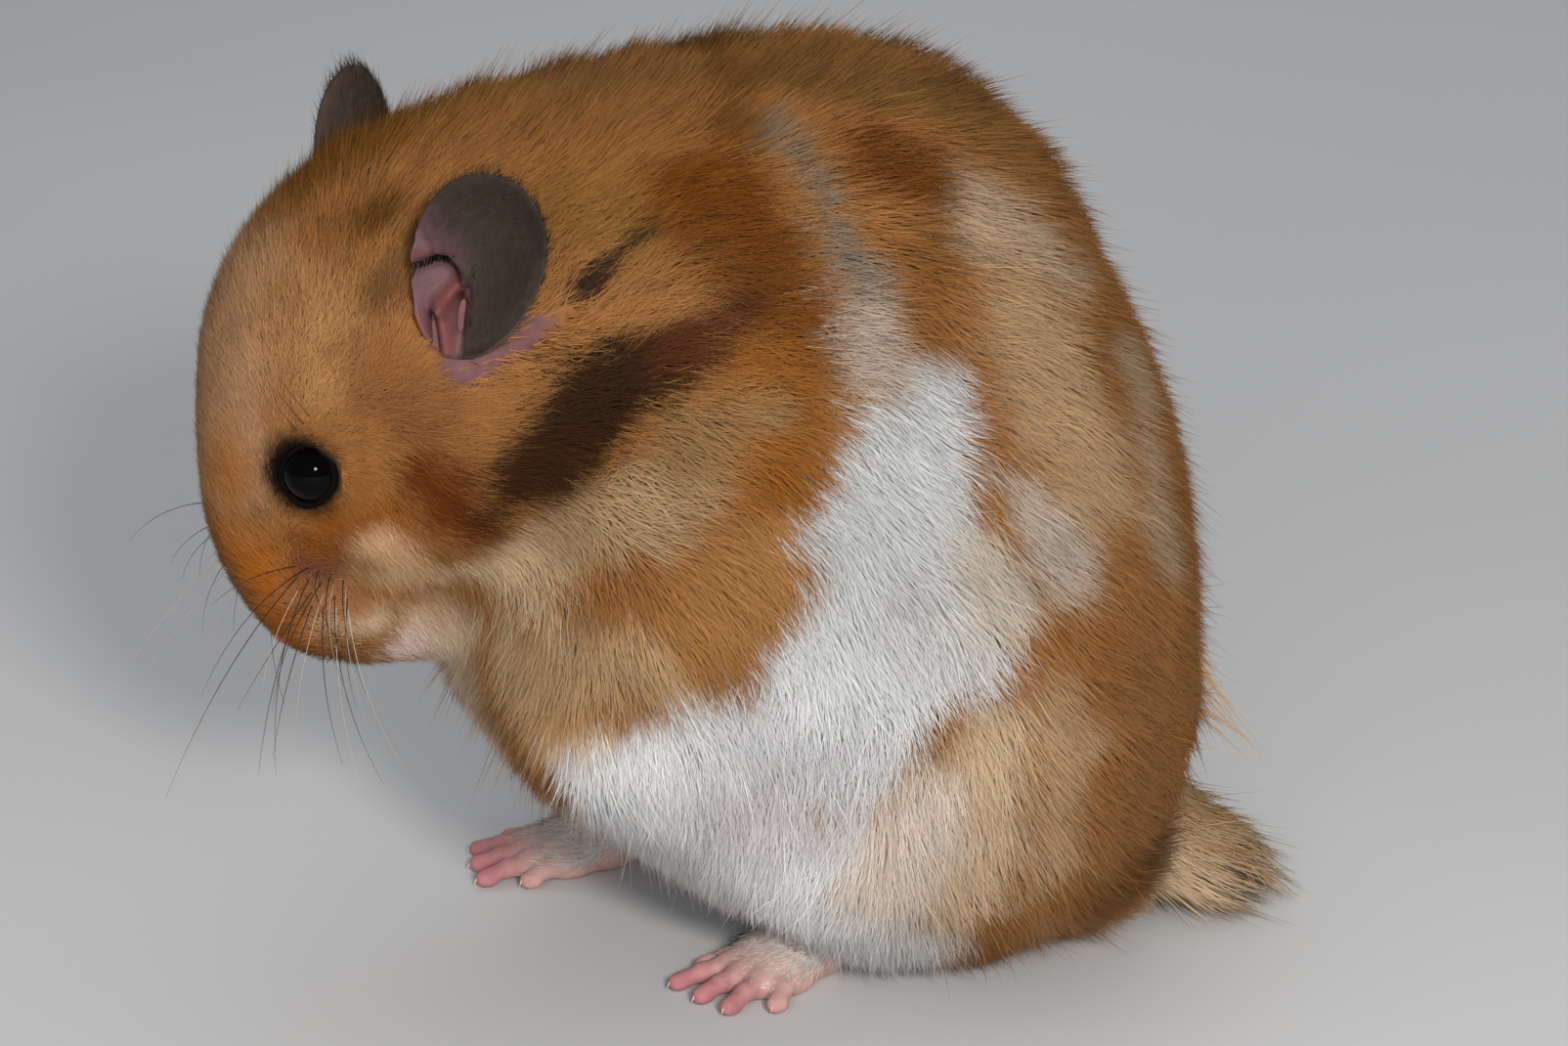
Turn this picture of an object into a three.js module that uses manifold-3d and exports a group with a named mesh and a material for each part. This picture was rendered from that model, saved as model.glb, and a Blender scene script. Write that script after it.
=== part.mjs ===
// A life-size Syrian hamster as a still museum model: it sits hunched on its hind feet and rump,
// head bowed, forepaws gathered under the chin. The solids reach out to the tips of the coat.
// Millimetres, +Z up. The animal faces -X, its left side is -Y, and the floor is Z = 0.
import * as THREE from "three";
import { mergeVertices } from "three/addons/utils/BufferGeometryUtils.js";
import Module from "manifold-3d";

const wasm = await Module();
wasm.setup();

// ---- Driving dimensions ----
const HEAD_AT = [-27, 0, 68]; // between the ear bases
const HEAD_BOW = 52; // degrees that the face points below the horizon
const HEAD_BACK = { at: [-15, 0, 66], tilt: -81 }; // plane between head and neck
const NECK_BACK = { at: [-3, 0, 66], tilt: -72 }; // plane between neck and trunk
const SHOULDER = [-6, 15, 46]; // of the right side; the left is its mirror image
const ELBOW = [-14, 13, 27];
const WRIST = [-18.6, 6.2, 29.4];
const HAUNCH_AT = [19, 14, 21.3];
const RIGHT_ANKLE = [-1.5, 18, 9];
const EYE_RADIUS = 3.1;
const EYE_AT = [18.6, 9.2, 1.0]; // in the head's frame: forward, sideways, up
const EAR_LENGTH = 18;
const EAR_WIDTH = 11.8;
const EAR_THICKNESS = 1.1;
const EAR_CUP = 2.4; // depth of the hollow of the ear
const FOOT_LENGTH = 18.6;
const CUT = 0.35; // gap of the thin cuts between two parts
const BODY_CELL = 6.0; // spacing of the surface points on the trunk
const HEAD_CELL = 4.0; // and on the head
const THINNEST = 0.012; // a triangle less high than this is a sliver
const MOST_PASSES = 200; // enough to clear every sliver of one solid
const FINE_CELL = 1.45; // on feet and paws
const TAIL_CELL = 3.4; // on the tail's tuft

// ---- Small vector and field helpers ----
const RAD = Math.PI / 180;
const LEFT = -1;
const RIGHT = 1;
const SIDES = [["left", LEFT], ["right", RIGHT]];

// Turns [forward, sideways, up] of the head's frame into [x, y, z]; side mirrors it to left or right.
function headPoint([forward, sideways, up], side = RIGHT) {
  const c = Math.cos(HEAD_BOW * RAD);
  const s = Math.sin(HEAD_BOW * RAD);
  return [
    HEAD_AT[0] - forward * c - up * s,
    HEAD_AT[1] + sideways * side,
    HEAD_AT[2] - forward * s + up * c,
  ];
}

// A field is negative inside its shape and about a distance in mm outside it.
// turn is in degrees about X, then Y, then Z.
function ellipsoid(at, radii, turn = [0, 0, 0]) {
  const spin = new THREE.Matrix4()
    .makeRotationFromEuler(new THREE.Euler(...turn.map((t) => t * RAD), "XYZ"))
    .invert().elements;
  const [a, b, c] = radii;
  return (x, y, z) => {
    const px = x - at[0];
    const py = y - at[1];
    const pz = z - at[2];
    const qx = (spin[0] * px + spin[4] * py + spin[8] * pz) / a;
    const qy = (spin[1] * px + spin[5] * py + spin[9] * pz) / b;
    const qz = (spin[2] * px + spin[6] * py + spin[10] * pz) / c;
    const near = Math.hypot(qx, qy, qz);
    const slope = Math.hypot(qx / a, qy / b, qz / c);
    return slope < 1e-9 ? -Math.min(a, b, c) : (near * (near - 1)) / slope;
  };
}

// An ellipsoid whose centre and axes are those of the head.
function headEllipsoid(at, radii, side = RIGHT) {
  return ellipsoid(headPoint(at, side), radii, [0, -HEAD_BOW, 0]);
}

// A limb from one point to another, with a radius at each.
function limb(from, to, fromRadius, toRadius) {
  const way = to.map((t, i) => t - from[i]);
  const length2 = way.reduce((sum, w) => sum + w * w, 0);
  return (x, y, z) => {
    const p = [x - from[0], y - from[1], z - from[2]];
    const along = p.reduce((sum, v, i) => sum + v * way[i], 0) / length2;
    const t = Math.min(1, Math.max(0, along));
    const off = Math.hypot(...p.map((v, i) => v - t * way[i]));
    return off - (fromRadius + (toRadius - fromRadius) * t);
  };
}

// Joins fields with a fillet of about the given width.
function blended(width, ...fields) {
  return (x, y, z) =>
    fields.map((f) => f(x, y, z)).reduce((a, b) => {
      const h = Math.max(width - Math.abs(a - b), 0) / width;
      return Math.min(a, b) - (h * h * width) / 4;
    });
}

const bothSides = (make) => SIDES.map(([, side]) => make(side));

// ---- The whole body as one field ----
const mirrored = ([x, y, z], side) => [x, y * side, z];

function trunkField() {
  return blended(12,
    ellipsoid([12, 0, 35], [32.5, 29, 32]), // belly and hips
    ellipsoid([13.5, 0, 51.5], [27.5, 26.5, 34.5]), // arched back
    ellipsoid([23.5, 0, 32], [22.3, 25, 30.3]), // rump
    ellipsoid([-1, 0, 59], [25, 24, 26]), // shoulders
    ellipsoid([-9, 0, 42], [14, 18, 20]), // chest
    ...bothSides((side) => ellipsoid(mirrored(HAUNCH_AT, side), [22, 15, 21])), // haunches
    limb([9, 18, 15], RIGHT_ANKLE, 9, 6), // right shin, set a step forward of the left one
  );
}

function neckField() {
  return ellipsoid([-13, 0, 67], [17, 18, 18]);
}

function headField() {
  return blended(6,
    headEllipsoid([4, 0, -0.5], [20, 15, 15.5]), // skull
    headEllipsoid([19, 0, -6], [13, 10.5, 12]), // face
    headEllipsoid([28, 0, -12], [5.5, 6.5, 7]), // muzzle
    headEllipsoid([22.5, 0, -18.2], [5.7, 4.3, 4.2]), // chin
    ...bothSides((side) => headEllipsoid([8, 9.5, -9], [13, 8, 10], side)), // cheeks
  );
}

function armField(side) {
  return blended(5,
    limb(mirrored(SHOULDER, side), mirrored(ELBOW, side), 10, 7),
    limb(mirrored(ELBOW, side), mirrored(WRIST, side), 5.5, 4),
  );
}

const body = blended(8, trunkField(), neckField(), ...bothSides(armField));
const whole = blended(7, body, headField());

// ---- Feet, forepaws and tail ----
// A foot's own frame: x from heel to toe tips, y towards the inner side, z up, heel at the origin.
// Each toe runs from its knuckle to its tip.
const TOES = [
  { knuckle: [9.2, 3.2], tip: [13.4, 5.2] },
  { knuckle: [12.4, 2.4], tip: [17.6, 3.9] },
  { knuckle: [12.9, 0.1], tip: [FOOT_LENGTH - 0.9, 0.3] },
  { knuckle: [12.3, -2.2], tip: [17.2, -3.2] },
  { knuckle: [9.6, -3.3], tip: [13.6, -5.6] },
];
const FEET = {
  left: { heel: [11.2, -9.8], turn: 20, side: LEFT }, // turn: degrees that the toes point outwards
  right: { heel: [0.8, 17.6], turn: 8, side: RIGHT },
};

// Turns a point of the foot's frame into the model's frame.
function footPoint({ heel, turn, side }, [x, y, z]) {
  const c = Math.cos(turn * RAD);
  const s = Math.sin(turn * RAD);
  return [heel[0] - x * c - y * s, heel[1] + side * (x * s - y * c), z];
}

function footField(foot) {
  const at = (p) => footPoint(foot, p);
  const toes = TOES.map(({ knuckle, tip }) => limb(at([...knuckle, 1.2]), at([...tip, 0.8]), 1.4, 1.15));
  const bones = TOES.map(({ knuckle }) => limb(at([5, knuckle[1] * 0.35, 2.5]), at([...knuckle, 1.3]), 2.8, 1.6));
  return blended(0.8,
    blended(1.5, ...bones, limb(at([0.5, 0, 2.4]), at([5, 0, 3.0]), 2.9, 3.4)), // sole from heel to knuckles
    limb(at([3, 0, 4]), at([5.5, 0, 9]), 3.4, 3.6), // ankle
    ...toes,
  );
}

// A forepaw hangs from the wrist with its fingers curled back to the chest.
const PAW_AT = [-21.8, 4.4, 25.4];
function pawField(side) {
  const at = (x, y, z) => mirrored([PAW_AT[0] + x, PAW_AT[1] + y, PAW_AT[2] + z], side);
  const fingers = [-2.1, -0.7, 0.7, 2.1].map((y) => limb(at(-1.4, y * 0.8, -1.6), at(0.6, y, -4.2), 1.15, 0.85));
  return blended(0.8,
    limb(mirrored(WRIST, side), at(0, 0, 1), 3, 2.5),
    blended(1.2, limb(at(-0.4, -1, -0.6), at(-0.4, 1, -0.6), 2.3, 2.3), ...fingers),
  );
}

// The short tail with the tuft of long hair that covers it and trails on the floor.
const tailField = blended(3,
  limb([39, -5, 9], [47, -9, 4.6], 8, 5.5),
  limb([47, -10, 4], [54.8, -11.6, 1.6], 5, 1.5),
  limb([36, -12, 4], [45, -14.5, 1.6], 5, 2.2),
);

// ---- From a field to a closed mesh ----
// Surface nets: one point in each cell that the surface crosses, one quad for each grid edge that it crosses.
function netOf(field, low, high, cell) {
  const n = low.map((l, i) => Math.ceil((high[i] - l) / cell) + 1);
  const at = (i, j, k) => i + n[0] * (j + n[1] * k);
  const values = new Float64Array(n[0] * n[1] * n[2]);
  const onBorder = (i, j, k) => [i, j, k].some((v, axis) => v === 0 || v === n[axis] - 1);
  for (let k = 0; k < n[2]; k++)
    for (let j = 0; j < n[1]; j++)
      for (let i = 0; i < n[0]; i++) {
        const value = field(low[0] + i * cell, low[1] + j * cell, low[2] + k * cell);
        values[at(i, j, k)] = onBorder(i, j, k) ? Math.max(value, cell / 2) : value; // closed at the border
      }

  const corners = [0, 1, 2, 3, 4, 5, 6, 7].map((c) => [c & 1, (c >> 1) & 1, c >> 2]);
  const points = [];
  const pointOf = new Map();
  function cellPoint(i, j, k) {
    const key = at(i, j, k);
    if (pointOf.has(key)) return pointOf.get(key);
    const sum = [0, 0, 0];
    let crossings = 0;
    corners.forEach((a, ca) => corners.forEach((b, cb) => {
      if (cb <= ca || Math.abs(a[0] - b[0]) + Math.abs(a[1] - b[1]) + Math.abs(a[2] - b[2]) !== 1) return;
      const va = values[at(i + a[0], j + a[1], k + a[2])];
      const vb = values[at(i + b[0], j + b[1], k + b[2])];
      if (va < 0 === vb < 0) return;
      const t = va / (va - vb);
      [i, j, k].forEach((base, axis) => {
        sum[axis] += low[axis] + (base + a[axis] + t * (b[axis] - a[axis])) * cell;
      });
      crossings++;
    }));
    pointOf.set(key, points.length / 3);
    points.push(...sum.map((s) => s / crossings));
    return pointOf.get(key);
  }

  const faces = [];
  const step = [[1, 0, 0], [0, 1, 0], [0, 0, 1]];
  for (let k = 0; k < n[2] - 1; k++)
    for (let j = 0; j < n[1] - 1; j++)
      for (let i = 0; i < n[0] - 1; i++)
        step.forEach(([di, dj, dk], axis) => {
          const inside = values[at(i, j, k)] < 0;
          if (inside === values[at(i + di, j + dj, k + dk)] < 0) return;
          const [u, v] = [step[(axis + 1) % 3], step[(axis + 2) % 3]];
          const ring = [[1, 1], [0, 1], [0, 0], [1, 0]].map(([a, b]) =>
            cellPoint(i - a * u[0] - b * v[0], j - a * u[1] - b * v[1], k - a * u[2] - b * v[2]));
          const [p, q, r, s] = inside ? ring : ring.reverse();
          faces.push(p, q, r, p, r, s);
        });
  const geometry = new THREE.BufferGeometry();
  geometry.setAttribute("position", new THREE.Float32BufferAttribute(points, 3));
  geometry.setIndex(faces);
  return geometry;
}

// ---- Joining and cutting ----
function solidOf(geometry) {
  const bare = geometry.clone();
  bare.deleteAttribute("normal");
  bare.deleteAttribute("uv");
  const merged = mergeVertices(bare, 1e-4);
  return new wasm.Manifold(new wasm.Mesh({
    numProp: 3,
    vertProperties: new Float32Array(merged.attributes.position.array),
    triVerts: new Uint32Array(merged.index.array),
  }));
}

// Cuts leave hair-thin triangles: each one loses its shortest edge, unless that would pinch the surface.
function withoutSlivers(points, triangles) {
  const corner = (i) => new THREE.Vector3().fromArray(points, 3 * i);
  const edgesOf = (t) => [[t[0], t[1]], [t[1], t[2]], [t[2], t[0]]];
  const lengthOf = ([a, b]) => corner(a).distanceTo(corner(b));
  const heightOf = (t) => {
    const area = new THREE.Triangle(...t.map(corner)).getArea();
    return (2 * area) / Math.max(1e-9, ...edgesOf(t).map(lengthOf));
  };
  const neighbours = (i) => new Set(triangles.filter((t) => t.includes(i)).flat());
  for (let pass = 0; pass < MOST_PASSES; pass++) {
    const thin = triangles.filter((t) => heightOf(t) < THINNEST);
    const edge = thin
      .map((t) => edgesOf(t).sort((a, b) => lengthOf(a) - lengthOf(b))[0])
      .find(([a, b]) => [...neighbours(a)].filter((i) => neighbours(b).has(i)).length === 4);
    if (!edge) break;
    const [kept, dropped] = edge;
    triangles = triangles
      .map((t) => t.map((i) => (i === dropped ? kept : i)))
      .filter((t) => new Set(t).size === 3);
  }
  return triangles;
}

function geometryOf(solid) {
  const { vertProperties, triVerts } = solid.getMesh();
  const triangles = [];
  for (let i = 0; i < triVerts.length; i += 3) triangles.push([...triVerts.slice(i, i + 3)]);
  const geometry = new THREE.BufferGeometry();
  geometry.setAttribute("position", new THREE.BufferAttribute(vertProperties, 3));
  geometry.setIndex(withoutSlivers(vertProperties, triangles).flat());
  return geometry;
}

// A big block whose lower face passes through a point; tilt turns it about Y. extra moves the face outwards.
const BLOCK = 300;
function blockAbove({ at, tilt }, extra = 0) {
  const box = new THREE.BoxGeometry(BLOCK, BLOCK, BLOCK);
  box.translate(0, 0, BLOCK / 2 - extra);
  box.rotateY(tilt * RAD);
  box.translate(...at);
  return solidOf(box);
}

// An egg-shaped cutter from one end to the other, extra mm bigger all round.
function egg(from, to, width, depth, extra = 0) {
  const [a, b] = [new THREE.Vector3(...from), new THREE.Vector3(...to)];
  const ball = new THREE.SphereGeometry(1, 12, 8);
  ball.scale(width + extra, a.distanceTo(b) / 2 + extra, depth + extra);
  const spin = new THREE.Quaternion().setFromUnitVectors(new THREE.Vector3(0, 1, 0), b.clone().sub(a).normalize());
  ball.applyQuaternion(spin);
  ball.translate(...a.add(b).multiplyScalar(0.5).toArray());
  return solidOf(ball);
}

// A small shape from its field, with a margin of grid around the given middle.
function smallSolid(field, middle, reach, cell) {
  return solidOf(netOf(field, middle.map((m) => m - reach), middle.map((m) => m + reach), cell));
}

const without = (solid, ...cutters) => cutters.reduce((a, b) => a.subtract(b), solid);
const largest = (solid) => solid.decompose().sort((a, b) => b.volume() - a.volume())[0];

// ---- Ears ----
// An ear's own frame: x from its front edge to its back edge, y from base to tip, z out of the hollow.
const EARS = {
  left: { base: [-27.6, -15.4, 64.8], tip: [-23.9, -19.3, 82.6], hollow: [-0.42, -0.9, 0.0] },
  right: { base: [-28.6, 14.6, 65.8], tip: [-27.2, 17.0, 83.8], hollow: [-0.62, 0.78, 0.0] },
};
const EAR_RINGS = 4;
const EAR_SPOKES = 18;
const EAR_WIDENING = 0.16; // share by which the ear is wider towards its tip

function earSolid({ base, tip, hollow }) {
  const [low, high] = [new THREE.Vector3(...base), new THREE.Vector3(...tip)];
  const up = high.clone().sub(low).normalize();
  const out = new THREE.Vector3(...hollow);
  out.addScaledVector(up, -out.dot(up)).normalize();
  const across = up.clone().cross(out);
  const middle = low.clone().add(high).multiplyScalar(0.5);
  const points = [];
  const addPoint = (x, y, z) => {
    const p = middle.clone().addScaledVector(across, x).addScaledVector(up, y).addScaledVector(out, z);
    points.push(...p.toArray());
  };
  // the hollow side from its middle to the rim, then the other side from the rim to its middle
  const rows = [];
  for (let r = 1; r <= EAR_RINGS; r++) rows.push([r / EAR_RINGS, 1]);
  for (let r = EAR_RINGS; r >= 1; r--) rows.push([r / EAR_RINGS, -1]);
  addPoint(0, 0, -EAR_CUP + EAR_THICKNESS / 2);
  rows.forEach(([r, face]) => {
    for (let i = 0; i < EAR_SPOKES; i++) {
      const angle = (2 * Math.PI * i) / EAR_SPOKES;
      const widening = 1 + EAR_WIDENING * Math.sin(angle);
      addPoint(
        r * (EAR_WIDTH / 2) * widening * Math.cos(angle),
        r * (EAR_LENGTH / 2) * Math.sin(angle),
        -EAR_CUP * (1 - r * r) + (face * EAR_THICKNESS * (r === 1 ? 0.6 : 1)) / 2,
      );
    }
  });
  addPoint(0, 0, -EAR_CUP - EAR_THICKNESS / 2);
  const faces = [];
  const at = (row, i) => 1 + row * EAR_SPOKES + (i % EAR_SPOKES);
  const last = points.length / 3 - 1;
  for (let i = 0; i < EAR_SPOKES; i++) {
    faces.push(0, at(0, i), at(0, i + 1));
    for (let row = 0; row < rows.length - 1; row++) {
      faces.push(at(row, i), at(row + 1, i), at(row + 1, i + 1));
      faces.push(at(row, i), at(row + 1, i + 1), at(row, i + 1));
    }
    faces.push(last, at(rows.length - 1, i + 1), at(rows.length - 1, i));
  }
  const leaf = new THREE.BufferGeometry();
  leaf.setAttribute("position", new THREE.Float32BufferAttribute(points, 3));
  leaf.setIndex(faces);
  return solidOf(leaf);
}

// ---- Eyes ----
function eyeSolid(side, extra = 0) {
  const ball = new THREE.SphereGeometry(EYE_RADIUS + extra, 14, 9);
  ball.translate(...headPoint(EYE_AT, side));
  return solidOf(ball);
}

// ---- Parting the body ----
const BODY_BOX = [[-60, -48, -14], [72, 48, 100]];
const HEAD_BOX = [[-60, -36, 15], [0, 36, 100]];
const grown = (x, y, z) => whole(x, y, z) - CUT - 0.15;
const bodySolid = solidOf(netOf(whole, ...BODY_BOX, BODY_CELL));
const headSolid = solidOf(netOf(whole, ...HEAD_BOX, HEAD_CELL));
const grownBody = solidOf(netOf(grown, ...BODY_BOX, BODY_CELL));
const grownHead = solidOf(netOf(grown, ...HEAD_BOX, HEAD_CELL));
const ground = blockAbove({ at: [0, 0, 0], tilt: 0 });

const armCutter = (side, extra) =>
  egg(mirrored([-3, 21, 52], side), mirrored([-15, 18, 20], side), 10, 11, extra)
    .add(egg(mirrored([-11, 15, 24], side), mirrored([-27, 4, 31], side), 7.5, 6.5, extra));
const thighCutter = (side, extra) =>
  egg(mirrored([-8, 23, 13], side), mirrored([41, 24, 25], side), 20, 15, extra);

const solids = {};
let rest = bodySolid;
let front = headSolid;
SIDES.forEach(([name, side]) => {
  solids[`foreleg_${name}`] = rest.intersect(armCutter(side, 0));
  rest = rest.subtract(armCutter(side, CUT));
  front = front.subtract(armCutter(side, CUT));
});
SIDES.forEach(([name, side]) => {
  solids[`hind_leg_${name}`] = rest.intersect(thighCutter(side, 0));
  rest = rest.subtract(thighCutter(side, CUT));
});
solids.head = without(front.intersect(blockAbove(HEAD_BACK)), eyeSolid(LEFT, CUT), eyeSolid(RIGHT, CUT));
rest = rest.subtract(blockAbove(HEAD_BACK, CUT));
solids.neck = rest.intersect(blockAbove(NECK_BACK));
solids.trunk = rest.subtract(blockAbove(NECK_BACK, CUT));

SIDES.forEach(([name, side]) => {
  const foot = smallSolid(footField(FEET[name]), footPoint(FEET[name], [8, 0, 4]), 16, FINE_CELL);
  const paw = smallSolid(pawField(side), mirrored(PAW_AT, side), 11, FINE_CELL);
  solids[`eye_${name}`] = eyeSolid(side);
  solids[`ear_${name}`] = without(earSolid(EARS[name]), grownHead, grownBody);
  solids[`hind_foot_${name}`] = foot.subtract(grownBody);
  solids[`forepaw_${name}`] = without(paw, grownHead, grownBody);
});
solids.tail = smallSolid(tailField, [50, 2, 6], 20, TAIL_CELL).subtract(grownBody);

// ---- Materials ----
const LOOKS = {
  fur: { color: "#b8824a", roughness: 0.95 },
  ear: { color: "#6b5348", roughness: 0.8 },
  skin: { color: "#d9a79a", roughness: 0.65 },
  eye: { color: "#0c0a0a", roughness: 0.08 },
};
const lookOf = (name) => {
  if (name.startsWith("eye")) return LOOKS.eye;
  if (name.startsWith("ear")) return LOOKS.ear;
  if (name.startsWith("hind_foot") || name.startsWith("forepaw")) return LOOKS.skin;
  return LOOKS.fur;
};

// ---- The model, standing on the middle of its own footprint ----
const group = new THREE.Group();
const geometries = Object.entries(solids).map(([name, solid]) =>
  [name, geometryOf(largest(solid.intersect(ground)))]);
const extent = new THREE.Box3();
geometries.forEach(([, geometry]) => {
  geometry.computeBoundingBox();
  extent.union(geometry.boundingBox);
});
const middle = extent.getCenter(new THREE.Vector3());
geometries.forEach(([name, geometry]) => {
  geometry.translate(-middle.x, -middle.y, -extent.min.z);
  const material = new THREE.MeshStandardMaterial({ ...lookOf(name), metalness: 0 });
  const mesh = new THREE.Mesh(geometry, material);
  mesh.name = name;
  group.add(mesh);
});

export default group;
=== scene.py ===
"""A life-size Syrian hamster as a museum-style model, with a coat of solid hairs.

Shapes are worked out in millimetres in the model's own frame (-X is where the animal faces, -Y its
left side, Z = 0 the floor) and stored in metres. Every hair is a thin closed solid.
"""

import math

import bpy
import numpy as np
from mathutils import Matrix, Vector
from mathutils.kdtree import KDTree


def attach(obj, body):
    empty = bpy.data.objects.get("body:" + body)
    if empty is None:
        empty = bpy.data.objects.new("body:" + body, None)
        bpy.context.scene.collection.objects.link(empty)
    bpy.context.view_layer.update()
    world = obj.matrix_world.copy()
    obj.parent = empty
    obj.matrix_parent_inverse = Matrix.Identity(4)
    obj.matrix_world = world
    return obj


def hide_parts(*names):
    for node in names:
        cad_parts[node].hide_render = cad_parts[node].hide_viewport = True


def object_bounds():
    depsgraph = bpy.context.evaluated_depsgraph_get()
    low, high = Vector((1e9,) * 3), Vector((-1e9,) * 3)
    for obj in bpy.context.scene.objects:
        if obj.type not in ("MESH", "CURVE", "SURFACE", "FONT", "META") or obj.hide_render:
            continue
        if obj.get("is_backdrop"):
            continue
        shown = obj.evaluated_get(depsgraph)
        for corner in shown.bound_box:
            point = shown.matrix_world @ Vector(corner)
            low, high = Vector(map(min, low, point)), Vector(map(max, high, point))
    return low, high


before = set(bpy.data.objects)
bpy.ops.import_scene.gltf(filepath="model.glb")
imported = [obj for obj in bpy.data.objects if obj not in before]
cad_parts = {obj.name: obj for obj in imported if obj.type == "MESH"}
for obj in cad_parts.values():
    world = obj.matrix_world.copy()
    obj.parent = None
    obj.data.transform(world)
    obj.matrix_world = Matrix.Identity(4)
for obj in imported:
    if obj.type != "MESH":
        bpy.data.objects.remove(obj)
cad_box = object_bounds()
rng = np.random.default_rng(7)

MM = 0.001
LEFT, RIGHT = -1, 1
SIDES = (("left", LEFT), ("right", RIGHT))
MIDDLE = np.array([3.964, 0.057, 0.0])  # the footprint's middle, where the frame's origin is

# ---------------------------------------------------------------- vectors


def dot(a, b):
    return np.einsum("...i,...i->...", a, b)


def unit(v, least=1e-6):
    """Vectors at length 1; those shorter than least stay short."""
    return v / np.maximum(np.linalg.norm(v, axis=-1, keepdims=True), least)


def flattened(way, normal):
    """Ways laid flat on the surface that has these normals."""
    return unit(way - normal * dot(way, normal)[:, None])


def distance_to(p, at):
    return np.linalg.norm(p - at, axis=-1)


def ramp(x, low, high):
    """0 up to low, 1 from high on, and smooth between them."""
    t = np.clip((x - low) / (high - low), 0, 1)
    return t * t * (3 - 2 * t)


def turn_of(degrees):
    return math.cos(math.radians(degrees)), math.sin(math.radians(degrees))


# ---------------------------------------------------------------- fields: the body's shape


def ellipsoid(at, radii, bow=0.0):
    """Distance-like field of an ellipsoid; bow turns it nose down, in degrees, about Y."""
    c, s = turn_of(bow)
    at = np.asarray(at, float) - MIDDLE
    radii = np.asarray(radii, float)
    turn = np.array([[c, 0, s], [0, 1, 0], [-s, 0, c]])

    def field(p):
        q = (p - at) @ turn.T / radii
        near = np.linalg.norm(q, axis=-1)
        slope = np.linalg.norm(q / radii, axis=-1)
        return near * (near - 1) / np.maximum(slope, 1e-9)

    return field


def limb(a, b, ra, rb):
    """Field of a rounded limb from a to b, with a radius at each end."""
    a = np.asarray(a, float) - MIDDLE
    way = np.asarray(b, float) - MIDDLE - a

    def field(p):
        q = p - a
        t = np.clip(q @ way / (way @ way), 0, 1)
        return np.linalg.norm(q - t[..., None] * way, axis=-1) - (ra + (rb - ra) * t)

    return field


def blend(width, a, b):
    h = np.maximum(width - np.abs(a - b), 0) / width
    return np.minimum(a, b) - h * h * width / 4


def blended(width, *fields):
    """One field of several, run into each other over about width mm."""
    def field(p):
        out = fields[0](p)
        for other in fields[1:]:
            out = blend(width, out, other(p))
        return out

    return field


# The head's frame: origin between the ears, forward along the face, up out of the crown.
HEAD_AT = np.array([-27.0, 0.0, 68.0])
HEAD_BOW = 52.0
BOW_C, BOW_S = turn_of(HEAD_BOW)
FORWARD = np.array([-BOW_C, 0, -BOW_S])
CROWNWARD = np.array([-BOW_S, 0, BOW_C])


def head_point(forward, sideways, up, side=RIGHT):
    return HEAD_AT + FORWARD * forward + CROWNWARD * up + np.array([0, sideways * side, 0])


def head_ellipsoid(at, radii, side=RIGHT):
    return ellipsoid(head_point(*at, side), radii, HEAD_BOW)


def head_forward(p):
    return (p + MIDDLE - HEAD_AT) @ FORWARD


def both_sides(make):
    return [make(side) for _, side in SIDES]


def arm_field(side):
    return blended(
        5,
        limb((-6, 15 * side, 46), (-14, 13 * side, 27), 10, 7),
        limb((-14, 13 * side, 27), (-18.6, 6.2 * side, 29.4), 5.5, 4),
    )


trunk_field = blended(
    12,
    ellipsoid((12, 0, 35), (32.5, 29, 32)),  # belly and hips
    ellipsoid((13.5, 0, 51.5), (27.5, 26.5, 34.5)),  # arched back
    ellipsoid((23.5, 0, 32), (22.3, 25, 30.3)),  # rump
    ellipsoid((-1, 0, 59), (25, 24, 26)),  # shoulders
    ellipsoid((-9, 0, 42), (14, 18, 20)),  # chest
    *both_sides(lambda side: ellipsoid((19, 14 * side, 21.3), (22, 15, 21))),  # haunches
    limb((9, 18, 15), (-1.5, 18, 9), 9, 6),  # right shin
)
head_field = blended(
    6,
    head_ellipsoid((4, 0, -0.5), (20, 15, 15.5)),  # skull
    head_ellipsoid((19, 0, -6), (13, 10.5, 12)),  # face
    head_ellipsoid((28, 0, -12), (5.5, 6.5, 7)),  # muzzle
    head_ellipsoid((22.5, 0, -18.2), (5.7, 4.3, 4.2)),  # chin
    *both_sides(lambda side: head_ellipsoid((8, 9.5, -9), (13, 8, 10), side)),  # cheeks
)
neck_field = ellipsoid((-13, 0, 67), (17, 18, 18))
body_field = blended(8, trunk_field, neck_field, *both_sides(arm_field))
tail_bone = limb((37, -4, 9.5), (47, -9, 5), 5.0, 1.8)  # the short tail inside its tuft
tail_tuft = blended(
    3,
    limb((39, -5, 9), (47, -9, 4.6), 8, 5.5),
    limb((47, -10, 4), (54.8, -11.6, 1.6), 5, 1.5),
    limb((36, -12, 4), (45, -14.5, 1.6), 5, 2.2),
)

EYE_RADIUS = 2.75
EYES = {side: head_point(17.9, 9.75, 1.0, side) - MIDDLE for _, side in SIDES}
EYE_CORNER = np.array([-1.9, 0.3, 0.9])  # from the right eye to its dark corner near the nose
NOSE_AT = head_point(33.0, 0, -11.5) - MIDDLE
EAR_BASES = {LEFT: np.array([-31.3, -15.2, 66.5]), RIGHT: np.array([-32.2, 14.4, 67.2])}

COAT_DEPTH = 3.6  # from skin to tips on the body
FACE_THINNING = 2.5  # how much thinner the coat is on the front of the face


def on_head(p, low=-4, high=5):
    return ramp(body_field(p) - head_field(p), low, high)


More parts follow.
